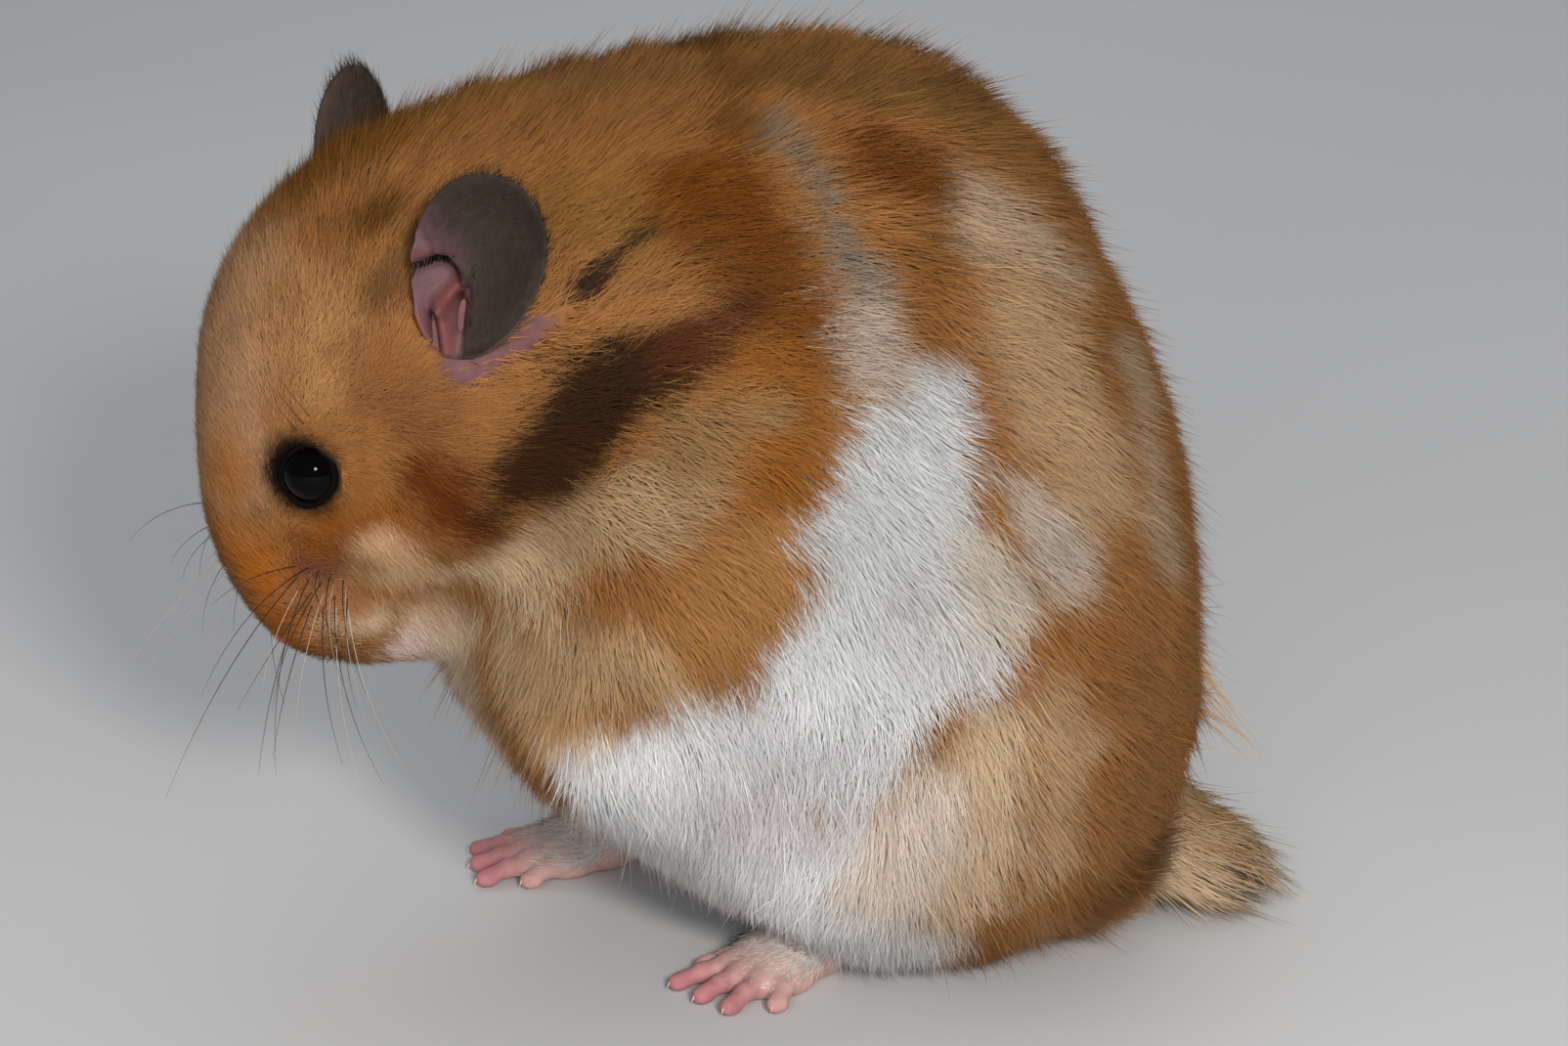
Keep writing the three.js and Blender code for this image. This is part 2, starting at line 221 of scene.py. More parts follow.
def coat_depth(p):
    """How far under the coat's tips the skin lies; less near nose, eyes, ears and floor."""
    face = COAT_DEPTH - FACE_THINNING * ramp(head_forward(p), -6, 20)
    depth = COAT_DEPTH + (face - COAT_DEPTH) * on_head(p, -3, 6)
    depth = np.minimum(depth, 0.35 + 0.25 * distance_to(p, NOSE_AT))
    for _, side in SIDES:
        for at, gap, thinnest, growth in ((EYES, 3.0, 0.45, 0.22), (EAR_BASES, 3.5, 0.7, 0.30)):
            beyond = np.maximum(distance_to(p, at[side]) - gap, 0)
            depth = np.minimum(depth, thinnest + growth * beyond)
    return np.minimum(depth, 1.6 + 0.45 * np.maximum(p[..., 2], 0))


def body_tips(p):
    return blend(7, body_field(p), head_field(p))


def tips_field(p):
    """Zero where the tips of the coat lie."""
    return blend(3, body_tips(p), tail_tuft(p))


def tips_normal(p, step=0.6):
    slopes = [tips_field(p + way) - tips_field(p - way) for way in np.eye(3) * step]
    return unit(np.stack(slopes, 1))


def skin_field(p):
    skin = blend(4, body_tips(p) + coat_depth(p), tail_bone(p))
    for _, side in SIDES:
        skin = np.maximum(skin, EYE_RADIUS - 0.15 - distance_to(p, EYES[side]))
    return np.maximum(skin, 0.4 - p[..., 2])


# ---------------------------------------------------------------- from fields to meshes

COARSE_STEP = 4  # cells between the places where the field is first looked at


def surface_net(field, low, high, cell):
    """Closed quad mesh of a field: one point for each cell that the surface crosses."""
    low = np.asarray(low, float)
    count = np.ceil((np.asarray(high, float) - low) / cell).astype(int) + 1
    step = COARSE_STEP
    coarse = -(-count // step) + 1
    axes = [low[i] + cell * step * np.arange(coarse[i]) for i in range(3)]
    rough = field(np.stack(np.meshgrid(*axes, indexing="ij"), -1))
    near = np.abs(rough) < cell * step * 2.2
    for axis in range(3):
        near = near | np.roll(near, 1, axis) | np.roll(near, -1, axis)

    def refined(values):
        for axis in range(3):
            values = np.repeat(values, step, axis)
        return values[: count[0], : count[1], : count[2]]

    value = refined(np.where(rough < 0, -1.0, 1.0))
    wanted = np.argwhere(refined(near))
    value[tuple(wanted.T)] = field(low + wanted * cell)

    inside = value < 0
    corners = np.array([[i, j, k] for k in (0, 1) for j in (0, 1) for i in (0, 1)])
    size = count - 1
    total = sum(
        inside[i : i + size[0], j : j + size[1], k : k + size[2]].astype(np.int8)
        for i, j, k in corners
    )
    cells = np.argwhere((total > 0) & (total < 8))
    places = np.zeros((len(cells), 3))
    crossings = np.zeros(len(cells))
    edges = [(a, b) for m, a in enumerate(corners) for b in corners[m + 1 :]]
    for a, b in edges:
        if abs(a - b).sum() != 1:
            continue
        va, vb = value[tuple((cells + a).T)], value[tuple((cells + b).T)]
        cut = (va < 0) != (vb < 0)
        t = np.where(cut, va / np.where(cut, va - vb, 1), 0)
        places += cut[:, None] * (a + t[:, None] * (b - a))
        crossings += cut
    points = low + cell * (cells + places / crossings[:, None])

    number = np.full(size, -1)
    number[tuple(cells.T)] = np.arange(len(cells))
    quads = []
    for axis in range(3):
        u, v = np.eye(3, dtype=int)[(axis + 1) % 3], np.eye(3, dtype=int)[(axis + 2) % 3]
        first = [slice(1, s) for s in size]
        second = list(first)
        first[axis], second[axis] = slice(0, size[axis]), slice(1, size[axis] + 1)
        here, there = inside[tuple(first)], inside[tuple(second)]
        start = np.argwhere(here != there) + [0 if i == axis else 1 for i in range(3)]
        around = ((1, 1), (0, 1), (0, 0), (1, 0))
        ring = np.stack([number[tuple((start - a * u - b * v).T)] for a, b in around], 1)
        outwards = inside[tuple(start.T)]
        quads.append(np.where(outwards[:, None], ring, ring[:, ::-1]))
    return points, np.concatenate(quads)


def wall(rows, around, closed=False):
    """Quads of a tube of rings; a closed one also joins its last ring to its first."""
    row, spoke = np.divmod(np.arange((rows if closed else rows - 1) * around), around)
    here, above, after = row * around, (row + 1) % rows * around, (spoke + 1) % around
    return np.stack([here + spoke, above + spoke, above + after, here + after], 1)


def facing_out(points, faces):
    """Faces of a closed mesh, turned over if they face inwards."""
    corners = [points[faces[:, i]] for i in range(faces.shape[1])]
    volume = sum(
        dot(corners[0], np.cross(b, c)).sum() for b, c in zip(corners[1:], corners[2:])
    )
    return faces[:, ::-1] if volume < 0 else faces


def pointed_tube(rings, first, last):
    """Closed triangle mesh: a point, rings of points, another point."""
    rows, around = rings.shape[:2]
    points = np.concatenate([rings.reshape(-1, 3), [first, last]])
    a, b, c, d = wall(rows, around).T
    spoke = np.arange(around)
    after, end = (spoke + 1) % around, (rows - 1) * around
    first_number, last_number = np.full(around, len(points) - 2), np.full(around, len(points) - 1)
    triangles = ((a, b, c), (a, c, d), (first_number, spoke, after),
                 (last_number, end + after, end + spoke))
    faces = np.concatenate([np.stack(corners, 1) for corners in triangles])
    return points, facing_out(points, faces)


def joined(*meshes):
    """Several (points, faces) as one."""
    points, faces, start = [], [], 0
    for p, f in meshes:
        points.append(p)
        faces.append(f + start)
        start += len(p)
    return np.concatenate(points), np.concatenate(faces)


def vertex_normals(points, faces):
    """Normals of a quad mesh at its points."""
    normals = np.zeros_like(points)
    a, b, c, d = (points[faces[:, i]] for i in range(4))
    face_normals = np.cross(c - a, d - b)
    for corner in range(4):
        for axis in range(3):
            normals[:, axis] += np.bincount(faces[:, corner], face_normals[:, axis], len(points))
    return unit(normals, 1e-12)


def mesh_piece(name, points, faces, materials, smooth=True):
    """Object at the origin from points in mm and equal-sided faces."""
    faces = np.asarray(faces)
    mesh = bpy.data.meshes.new(name)
    mesh.vertices.add(len(points))
    mesh.vertices.foreach_set("co", (np.asarray(points) * MM).astype(np.float32).ravel())
    mesh.loops.add(faces.size)
    mesh.loops.foreach_set("vertex_index", faces.astype(np.int32).ravel())
    mesh.polygons.add(len(faces))
    starts = np.arange(0, faces.size, faces.shape[1], dtype=np.int32)
    mesh.polygons.foreach_set("loop_start", starts)
    mesh.update(calc_edges=True)
    mesh.polygons.foreach_set("use_smooth", np.full(len(faces), smooth))
    for material in materials:
        mesh.materials.append(material)
    return placed(name, mesh)


def placed(name, data):
    thing = bpy.data.objects.new(name, data)
    bpy.context.scene.collection.objects.link(thing)
    return thing


def set_attribute(piece, name, values):
    """One number or one colour for each point."""
    kind, key = ("FLOAT_VECTOR", "vector") if values.ndim > 1 else ("FLOAT", "value")
    layer = piece.data.attributes.new(name, kind, "POINT")
    layer.data.foreach_set(key, values.astype(np.float32).ravel())


# ---------------------------------------------------------------- the markings


def linear(hex_colour):
    """sRGB hex to the linear colour that shaders use."""
    parts = [int(hex_colour[i : i + 2], 16) / 255 for i in (1, 3, 5)]
    return (*(v / 12.92 if v <= 0.04045 else ((v + 0.055) / 1.055) ** 2.4 for v in parts), 1.0)


def rgb(hex_colour):
    return np.array(linear(hex_colour)[:3])


def mixed(colour_a, colour_b, share):
    return colour_a + (colour_b - colour_a) * np.asarray(share)[..., None]


# Patches of the coat on the animal's left side (the right side mirrors them), painted in this
# order: from, to, radius at each end, softness of the edge, colour.
COAT_BASE = "#99683a"
PATCHES = (
    ((-14, 0, 20), (28, 0, 1), 13, 13, 2, "#d9d6d4"),  # white belly, underneath
    ((-9, -14, 20), (4, -17, 9), 11, 11, 2, "#d9d6d4"),  # white belly, before the leg
    ((-30, 0, 42), (-24, 0, 26), 8, 7, 3, "#d8c3a6"),  # tan bib between the arms
    ((-34, -3, 35), (-32.5, -1, 34), 3.6, 3.4, 1.2, "#e6cfc6"),  # pale chin
    ((40, -6, 12), (54, -8, 3), 9, 7, 2, "#b3926d"),  # tan tail
    ((-26.7, -2.7, 83.9), (-9, -11.6, 83.2), 4.5, 5.5, 2.7, "#8f6234"),  # gold of the nape
    ((-17.4, -1.7, 85.7), (-4.9, -5.1, 85.9), 2.0, 2.0, 1.5, "#855f38"),  # darker top of the neck
    ((-1.5, -5.8, 86), (20.5, -7, 81.7), 3.8, 4.4, 2.4, "#7a572f"),  # brown back
    ((-4.2, -13.3, 82.7), (-2.6, -3.7, 86.5), 2.7, 1.8, 1.8, "#6d4721"),  # paler, before the back
    ((-19.1, -15.1, 78.5), (-10.1, -20, 74.6), 5.0, 5.0, 2.7, "#8a612f"),  # gold behind the ear
    ((-8.2, -17, 78.8), (-3.7, -24.5, 68.2), 5.5, 4.7, 2.7, "#6f3f0d"),  # red-brown shoulder
    ((-5.1, -25.9, 62.6), (-5.9, -27.9, 50.8), 4.4, 4.4, 2.4, "#8f571c"),  # orange edge by the white
    ((-6.8, -28, 46.5), (-14.8, -25.1, 37.3), 4.7, 3.8, 2.4, "#aa7a48"),  # orange upper arm
    ((-26.6, -13.6, 33.7), (-18.7, -23, 37.1), 5.3, 4.2, 2.4, "#b99771"),  # tan forearm
    ((-24.1, -16.8, 28.4), (-20.7, -20.5, 29.4), 2.4, 2.4, 1.5, "#c9a071"),  # pale wrist
    ((-47.5, -3.2, 69.3), (-49.3, -4.9, 53.8), 6.7, 6.4, 2.4, "#be916a"),  # orange forehead
    ((-43, -9.6, 70.6), (-42.2, -12.4, 64.3), 3.8, 3.8, 2.4, "#af8153"),  # paler brow
    ((-36.9, -15.3, 62.9), (-34, -16.8, 59.5), 3.8, 3.8, 2.4, "#8c5c34"),  # temple
    ((-40.9, 1, 78.1), (-32.8, -2.4, 82.2), 3.8, 3.1, 2.0, "#774d1c"),  # dark crown
    ((-39.1, -8.8, 75.7), (-34.7, -8.9, 78.3), 2.4, 2.4, 1.5, "#613e19"),  # brown behind the crown
    ((-36.8, -13.1, 71), (-33.7, -11.3, 76.3), 1.4, 1.2, 0.7, "#744f2e"),  # fringe before the ear
    ((-48.1, -5.3, 46.5), (-44.1, -5.5, 39.1), 3.8, 3.3, 2.4, "#bc6e29"),  # deep orange muzzle
    ((-43.2, -9.2, 45.4), (-42.2, -9.4, 44.4), 1.5, 1.5, 1.3, "#76483d"),  # mauve-brown whisker pad
    ((-41.4, -7.3, 39.3), (-37, -7.6, 38.5), 1.6, 1.5, 2.0, "#d4ba9b"),  # pale lip
    ((-37.4, -10.8, 44.1), (-32.9, -11.3, 42.8), 1.7, 1.7, 1.5, "#cead88"),  # cream cheek
    ((-44.3, -6.8, 41.8), (-40.3, -8.4, 40.8), 1.8, 1.8, 1.5, "#b57d59"),  # orange-tan upper lip
    ((-44.6, -9.3, 48.6), (-41.6, -10.9, 47.4), 1.6, 1.6, 1.5, "#7a431d"),  # brown over the pad
    ((-49.5, -4.4, 54.6), (-48.9, -5.1, 48.8), 2.4, 2.7, 2.4, "#b67a44"),  # orange-tan snout
    ((-42.4, -11.3, 50.1), (-37.2, -14.7, 51.1), 2.7, 3.1, 2.2, "#9b5a23"),  # red-brown below eye
    ((-34.1, -16.7, 54.1), (-29, -16.8, 48.6), 3.3, 3.3, 2.2, "#65320d"),  # deep red-brown cheek
    ((-37.8, -13.3, 48), (-33.9, -11, 43), 2.2, 2.4, 1.8, "#dfb38a"),  # cream spot on the cheek
    ((-32.4, -9.1, 39.8), (-30.2, -10.7, 40.1), 1.1, 1.1, 1.3, "#83737e"),  # shaded throat
    ((-27.9, -13.8, 41.4), (-24.4, -19, 46.9), 4.0, 4.2, 1.8, "#d5bb97"),  # cream crescent, low end
    ((-23.3, -19.8, 48.4), (-14.6, -24.9, 54.5), 4.2, 4.2, 1.8, "#aa8e6c"),  # crescent, middle
    ((-13.6, -24.7, 57), (-6.6, -26.3, 60.2), 3.5, 2.0, 2.0, "#95744c"),  # crescent, upper end
    ((-28.3, -17.6, 50.6), (-21.6, -20.6, 59.2), 2.9, 4.2, 1.5, "#38200d"),  # dark flash, lower end
    ((-20.7, -20.8, 61.4), (-13.7, -22.5, 66.5), 4.5, 2.7, 1.5, "#331f0d"),  # dark flash, middle
    ((-13.3, -22.6, 66.9), (-7.6, -23, 69.9), 2.3, 1.1, 1.6, "#4e250d"),  # dark flash, upper end
    ((-20.1, -18.6, 72.1), (-14.7, -18.3, 76.1), 1.2, 0.8, 0.7, "#2f1e11"),  # thin dark streak
    ((-21.3, -19.4, 25.8), (-12, -24.6, 29.8), 3.1, 3.3, 1.1, "#d4cfca"),  # white chest side
    ((-17.7, -19.5, 21.9), (-6.5, -22, 15.5), 4.2, 4.2, 0.9, "#f3f3f3"),  # white front of the belly, lifted brighter than the flank's white as painted light on the shaded underside
    ((-16.4, -21.2, 24.3), (-1.6, -28.9, 30), 5.1, 7.5, 1.1, "#e8e8e9"),  # white belly side
    ((-2.8, -28.4, 30), (2.4, -30.2, 36.9), 7.6, 8.5, 1.1, "#d3d3d5"),  # white flank, lower end
    ((2.4, -30.2, 36.9), (5.2, -29.5, 48.2), 8.7, 7.5, 1.1, "#d4d5d6"),  # white flank
    ((5.2, -29.5, 48.2), (6.9, -27.7, 59.1), 7.3, 5.8, 1.3, "#c9caca"),  # white flank, upper end
    ((8.6, -30.7, 40.8), (11.2, -31.4, 37), 5.3, 5.1, 1.8, "#cbc9c9"),  # white flank, behind
    ((4.6, -26.8, 62.7), (3.4, -23.4, 71.5), 2.7, 2.4, 1.3, "#b3a294"),  # white band to the back
    ((3.4, -23.4, 71.5), (1.4, -18.3, 78.7), 2.0, 1.9, 1.2, "#807364"),  # white band, middle
    ((1, -17.6, 79.4), (-1.5, -12.2, 83.5), 1.6, 0.8, 1.1, "#796a59"),  # white band, fading end
    ((12.6, -29.8, 46.4), (15.1, -30.8, 40), 3.1, 2.9, 2.0, "#c7bbac"),  # white behind the flank
    ((-6.4, -24.1, 18.8), (-0.9, -26.9, 17.7), 6.5, 5.6, 1.1, "#dad6d6"),  # white shin
    ((-3.2, -21.8, 10.9), (3, -26.8, 13.1), 4.2, 4.5, 1.3, "#f3f3f3"),  # white above the foot, lifted brighter than the flank's white as painted light where it lies in shade
    ((7.6, -17.1, 79.5), (13.2, -19.5, 75.2), 3.8, 4.2, 1.6, "#65390f"),  # orange, behind the band
    ((11.3, -21.1, 73.6), (9.5, -24.8, 67.3), 3.8, 2.2, 1.5, "#885b2f"),  # orange patch, lower end
    ((17.1, -18.9, 73.8), (23.7, -18.1, 68.9), 4.2, 4.5, 2.0, "#b69c80"),  # beige croup
    ((20.6, -22.2, 64.9), (24.7, -25.6, 51.8), 6.2, 6.0, 2.2, "#b79673"),  # beige hip
    ((33, -16.2, 58.1), (33.8, -22.6, 42.1), 3.3, 2.9, 1.8, "#ae9476"),  # browner rump
    ((17.8, -28.4, 49.9), (21.4, -29.3, 42.4), 2.7, 2.7, 1.8, "#c0b1a2"),  # beige, below the hip
    ((29.5, -26.7, 38.5), (29.1, -26.5, 16.2), 4.2, 4.7, 1.8, "#94673d"),  # golden-brown haunch
    ((19.9, -31.2, 31.6), (20.1, -29.4, 15), 2.9, 3.5, 1.8, "#b59371"),  # tan haunch
    ((13.1, -31.7, 28), (11, -29.2, 13.9), 4.5, 5.3, 1.8, "#c9ae8f"),  # cream haunch
    ((7, -30.7, 22.8), (4.2, -27.3, 13.2), 3.5, 3.8, 1.8, "#decebf"),  # cream knee
    ((20.3, -24.8, 6.5), (34.9, -15.8, 3.2), 1.3, 2.5, 1.1, "#ad7e55"),  # brown along the floor
    ((38.5, -15.6, 4.1), (46.3, -13.6, 2.8), 4.4, 3.1, 2.2, "#c4aa8b"),  # tan tuft of the tail
)
EYE_RIM, RIM_FULL, RIM_END = "#140c09", 3.0, 5.2  # full and gone at these mm from the eye
EDGE_WANDER = ((0.9, 6, 21), (0.7, 2.5, 22))  # mm, over swells of so many mm, seed


def waves(p, size, seed):
    """Smooth noise of about -1 to 1 whose swells are about size mm across."""
    own = np.random.default_rng(seed)
    total = np.zeros(len(p))
    for _ in range(7):
        way = own.normal(size=3)
        way *= 2 * math.pi / (size * own.uniform(1.4, 3.4)) / np.linalg.norm(way)
        total += np.sin(p @ way + own.uniform(0, 2 * math.pi))
    return total / 2.6


def coat_colour(p, ragged):
    """Colour of the coat at places in mm; ragged moves each place's edges by some mm."""
    folded = p * [1, 0, 1] - np.abs(p) * [0, 1, 0]
    wander = sum(shift * waves(p, size, seed) for shift, size, seed in EDGE_WANDER) + ragged
    colour = rgb(COAT_BASE)
    for start, end, r1, r2, soft, shade in PATCHES:
        start, way = np.array(start, float), np.array(end, float) - start
        t = np.clip((folded - start) @ way / max(way @ way, 1e-6), 0, 1)
        apart = distance_to(folded, start + t[:, None] * way) - (r1 + (r2 - r1) * t)
        reach = min(1.0, r2 / 2)  # narrow patches keep their shape
        colour = mixed(colour, rgb(shade), ramp(-(apart + wander * reach), -soft, soft))
    for _, side in SIDES:
        rim = distance_to(p, EYES[side] + EYE_CORNER * [1, side, 1] * 0.25) + 0.25 * ragged
        colour = mixed(colour, rgb(EYE_RIM), ramp(-rim, -RIM_END, -RIM_FULL))
    return colour


# ---------------------------------------------------------------- materials


def add_node(tree, kind, links=None, values=None, **settings):
    """Adds a node; links maps its inputs to other nodes' outputs, values maps them to constants."""
    node = tree.nodes.new(kind)
    for key, value in settings.items():
        setattr(node, key, value)
    for key, value in (values or {}).items():
        node.inputs[key].default_value = value
    for key, socket in (links or {}).items():
        tree.links.new(socket, node.inputs[key])
    return node


def attribute(tree, name, output="Fac"):
    return add_node(tree, "ShaderNodeAttribute", attribute_name=name).outputs[output]


def object_place(tree):
    return add_node(tree, "ShaderNodeTexCoord").outputs["Object"]


def noise(tree, scale, detail):
    """Noise whose swells are about 1 / scale metres across."""
    links, values = {"Vector": object_place(tree)}, {"Scale": scale, "Detail": detail}
    return add_node(tree, "ShaderNodeTexNoise", links, values).outputs[0]


def remapped(tree, value, to_low, to_high, low=0.0, high=1.0, **settings):
    """The value's range from low to high, laid on the range from to_low to to_high."""
    ends = {1: low, 2: high, 3: to_low, 4: to_high}
    return add_node(tree, "ShaderNodeMapRange", {0: value}, ends, **settings).outputs[0]


def times(tree, a, b):
    return add_node(tree, "ShaderNodeMath", {0: a, 1: b}, operation="MULTIPLY").outputs[0]


def scaled(tree, colour, share):
    links = {0: colour, "Scale": share}
    return add_node(tree, "ShaderNodeVectorMath", links, operation="SCALE").outputs[0]


def one_colour(tree, hex_colour):
    base = add_node(tree, "ShaderNodeRGB").outputs[0]
    base.default_value = linear(hex_colour)
    return base


def new_material(name, paint, roughness, ior, relief=None, **more):
    """A material whose colour, and relief if any, come from nodes that these functions add."""
    material = bpy.data.materials.new(name)
    material.use_nodes = True
    tree = material.node_tree
    tree.nodes.clear()
    links = {"Base Color": paint(tree)}
    if relief:
        links["Normal"] = relief(tree)
    values = {"Roughness": roughness, "IOR": ior}
    values.update({key.replace("_", " "): value for key, value in more.items()})
    shader = add_node(tree, "ShaderNodeBsdfPrincipled", links, values)
    add_node(tree, "ShaderNodeOutputMaterial", {"Surface": shader.outputs[0]})
    return material


def clouded(hex_colour, grain=400.0):
    """Paint of one colour, a little lighter and darker in soft swells, 1 / grain metres across."""
    def paint(tree):
        lift = remapped(tree, noise(tree, grain, 2.0), 0.85, 1.15)
        return scaled(tree, one_colour(tree, hex_colour), lift)

    return paint


def down(hex_colour):
    """Paint of one colour for short hairs, each a little lighter or darker."""
    def paint(tree):
        light = remapped(tree, attribute(tree, "shade"), 0.7, 1.3)
        return scaled(tree, one_colour(tree, hex_colour), light)

    return paint


def hair_paint(tree):
    """The marking's colour, darker at the root, paler at the tip, each hair a little its own."""
    along = attribute(tree, "along")
    light = remapped(tree, attribute(tree, "shade"), 0.76, 1.24)
    root = remapped(tree, along, 0.96, 1.0, 0.0, 0.5, interpolation_type="SMOOTHSTEP")
    tip = remapped(tree, along, 1.0, 1.06, 0.6, 1.0)
    shade = times(tree, times(tree, light, root), tip)
    return scaled(tree, attribute(tree, "coat_colour", "Color"), shade)


def skin_paint(tree):
    """The coat's own colour where hair covers it; bare skin mottled by blood, about 1 mm across."""
    values = {"Scale": 0.85}
    coat = attribute(tree, "coat_colour", "Color")
    under = add_node(tree, "ShaderNodeVectorMath", {0: coat}, values, operation="SCALE").outputs[0]
    lift = remapped(tree, noise(tree, 900.0, 3.0), 0.88, 1.1, 0.3, 0.7)
    mottled = scaled(tree, attribute(tree, "tint", "Color"), lift)
    links = {0: attribute(tree, "bare"), 6: under, 7: mottled}
    return add_node(tree, "ShaderNodeMix", links, data_type="RGBA").outputs[2]


def creases(tree):
    """Fine creases of bare skin, about 0.3 mm apart and 0.1 mm deep."""
    links, values = {"Vector": object_place(tree)}, {"Scale": 3000.0}
    cells = add_node(tree, "ShaderNodeTexVoronoi", links, values).outputs["Distance"]
    values = {"Strength": 0.25, "Distance": 0.0001}
    return add_node(tree, "ShaderNodeBump", {"Height": cells}, values).outputs[0]


# Living skin: thin, soft and dull, with blood showing through where it is bare.
SKIN = new_material("skin", skin_paint, 0.6, 1.4, creases, Specular_IOR_Level=0.25,
                    Subsurface_Weight=0.15, Subsurface_Scale=0.001,
                    Subsurface_Radius=(1.0, 0.35, 0.2))
# Hair of the coat: grown keratin, soft and dull; its colour changes along each hair of 4 to 9 mm.
HAIR = new_material("hair", hair_paint, 0.6, 1.55, Specular_IOR_Level=0.1)
# Down of the ears and feet: keratin, 1 to 3 mm long and finer than the coat.
EAR_HAIR, FOOT_HAIR = (
    new_material(name, down(colour), 0.5, 1.55, Specular_IOR_Level=0.3)
    for name, colour in (("ear_down", "#362c24"), ("foot_down", "#cfc6c0"))
)
# Ball of the eye: a nearly black iris and pupil under a wet, clear front, smooth all over.
WET_EYE = new_material("wet_eye", clouded("#040303"), 0.04, 1.376, Specular_IOR_Level=0.12)
# Edge of the eyelids: dark bare skin, soft and dull, with swells of colour 2.5 mm across.
LID = new_material("lid_skin", clouded("#080506"), 0.75, 1.4, Specular_IOR_Level=0.1)
# Claw: thin grown horn, pale and worn smooth, with swells of colour 2.5 mm across.
HORN = new_material("claw_horn", clouded("#dcb5a6"), 0.35, 1.55)
# Whiskers: stiff smooth hairs, dark or pale, with swells of colour 2.5 mm across.
DARK_WHISKER = new_material("dark_whisker", clouded("#2a1c14"), 0.35, 1.55)
PALE_WHISKER = new_material("pale_whisker", clouded("#b9aea0"), 0.35, 1.55)
# Floor: smooth rolled paint on board, with swells of colour a third of a metre across.
PALE_PAINT = new_material("pale_paint", clouded("#cdced0", 3.0), 0.6, 1.5, Specular_IOR_Level=0.15)

# ---------------------------------------------------------------- feet, paws, nose and eyelids

# A foot's own frame: x from heel to toe tips, y towards the inner side, z up. Each toe goes from
# its knuckle to its tip.
TOES = (((9.2, 3.2), (13.4, 5.2)), ((12.4, 2.4), (17.6, 3.9)), ((12.9, 0.1), (17.7, 0.3)),
        ((12.3, -2.2), (17.2, -3.2)), ((9.6, -3.3), (13.6, -5.6)))
# heel, then degrees that the toes point outwards
FEET = {LEFT: ((11.2, -9.8), 20), RIGHT: ((0.8, 17.6), 8)}


def foot_point(side, point):
    (hx, hy), turn = FEET[side]
    c, s = turn_of(turn)
    x, y, z = point
    return np.array([hx - x * c - y * s, hy + side * (x * s - y * c), z])


def on_foot(side, p):
    """How far places lie before the heel and towards the foot's inner side."""
    (hx, hy), turn = FEET[side]
    c, s = turn_of(turn)
    q = p + MIDDLE - np.array([hx, hy, 0])
    return -q[:, 0] * c + side * q[:, 1] * s, -q[:, 0] * s - side * q[:, 1] * c


def foot_field(side):
    def at(*place):
        return foot_point(side, place)

    toes = []
    for (kx, ky), (tx, ty) in TOES:
        mx, my = (kx + tx) / 2, (ky + ty) / 2
        toes.append(blended(
            0.5,
            limb(at(kx, ky, 1.35), at(mx, my, 1.55), 1.25, 0.92),
            limb(at(mx, my, 1.5), at(tx, ty, 0.95), 0.92, 0.8),
            limb(at(tx - 0.7, ty, 0.8), at(tx - 0.3, ty, 0.8), 0.78, 0.72),  # toe pad
        ))
    toes = blended(0.35, *toes)
    knuckles = [knuckle for knuckle, _ in TOES]
    bones = [limb(at(5, y * 0.35, 2.5), at(x, y, 1.5), 2.7, 1.35) for x, y in knuckles]
    pads = [limb(at(x - 1.2, y, 0.95), at(x - 1.0, y, 0.95), 1.0, 1.0) for x, y in knuckles]
    foot = blended(
        0.7,
        blended(1.3, *bones, limb(at(0.5, 0, 2.4), at(5, 0, 3.0), 2.6, 3.1)),
        limb(at(3, 0, 4), at(5.5, 0, 9), 3.1, 3.3),  # ankle
        *pads,
    )

    def field(p):
        out = blend(0.9, foot(p), toes(p))
        for (kx, ky), (tx, ty) in TOES:
            for share in (0.25, 0.5, 0.75):  # joint creases
                ring = at(kx + (tx - kx) * share, ky + (ty - ky) * share, 2.55)
                out = out + 0.10 * np.exp(-((distance_to(p, ring - MIDDLE) / 0.75) ** 2))
        return np.maximum(out, 0.02 - p[..., 2])

    return field


def foot_net(side, cell):
    heel = foot_point(side, (9, 0, 4)) - MIDDLE
    return surface_net(foot_field(side), heel - [12, 12, 5], heel + [12, 12, 9], cell)


def foot_tint(points, side):
    """Pale instep, rosy toes."""
    return mixed(rgb("#c9a39b"), rgb("#b0757a"), ramp(on_foot(side, points)[0], 11, 17.5))


WRIST = (-18.6, 6.2, 29.4)
PAW_AT = (-18.7, 4.0, 26.8)
FINGERS = (-2.1, -0.7, 0.7, 2.1)


def paw_point(side, x, y, z):
    return np.array([PAW_AT[0] + x, (PAW_AT[1] + y) * side, PAW_AT[2] + z])


def paw_field(side):
    def at(*place):
        return paw_point(side, *place)

    fingers = [
        blended(
            0.3,
            limb(at(-1.4, y * 0.8, -1.4), at(-1.9, y * 0.95, -3.2), 0.95, 0.72),
            limb(at(-1.9, y * 0.95, -3.2), at(0.2, y, -4.3), 0.72, 0.62),
        )
        for y in FINGERS
    ]
    return blended(
        0.6,
        limb((WRIST[0], WRIST[1] * side, WRIST[2]), at(0, 0, 1), 2.7, 2.2),
        limb(at(-0.4, -1, -0.6), at(-0.4, 1, -0.6), 1.9, 1.9),
        *fingers,
    )


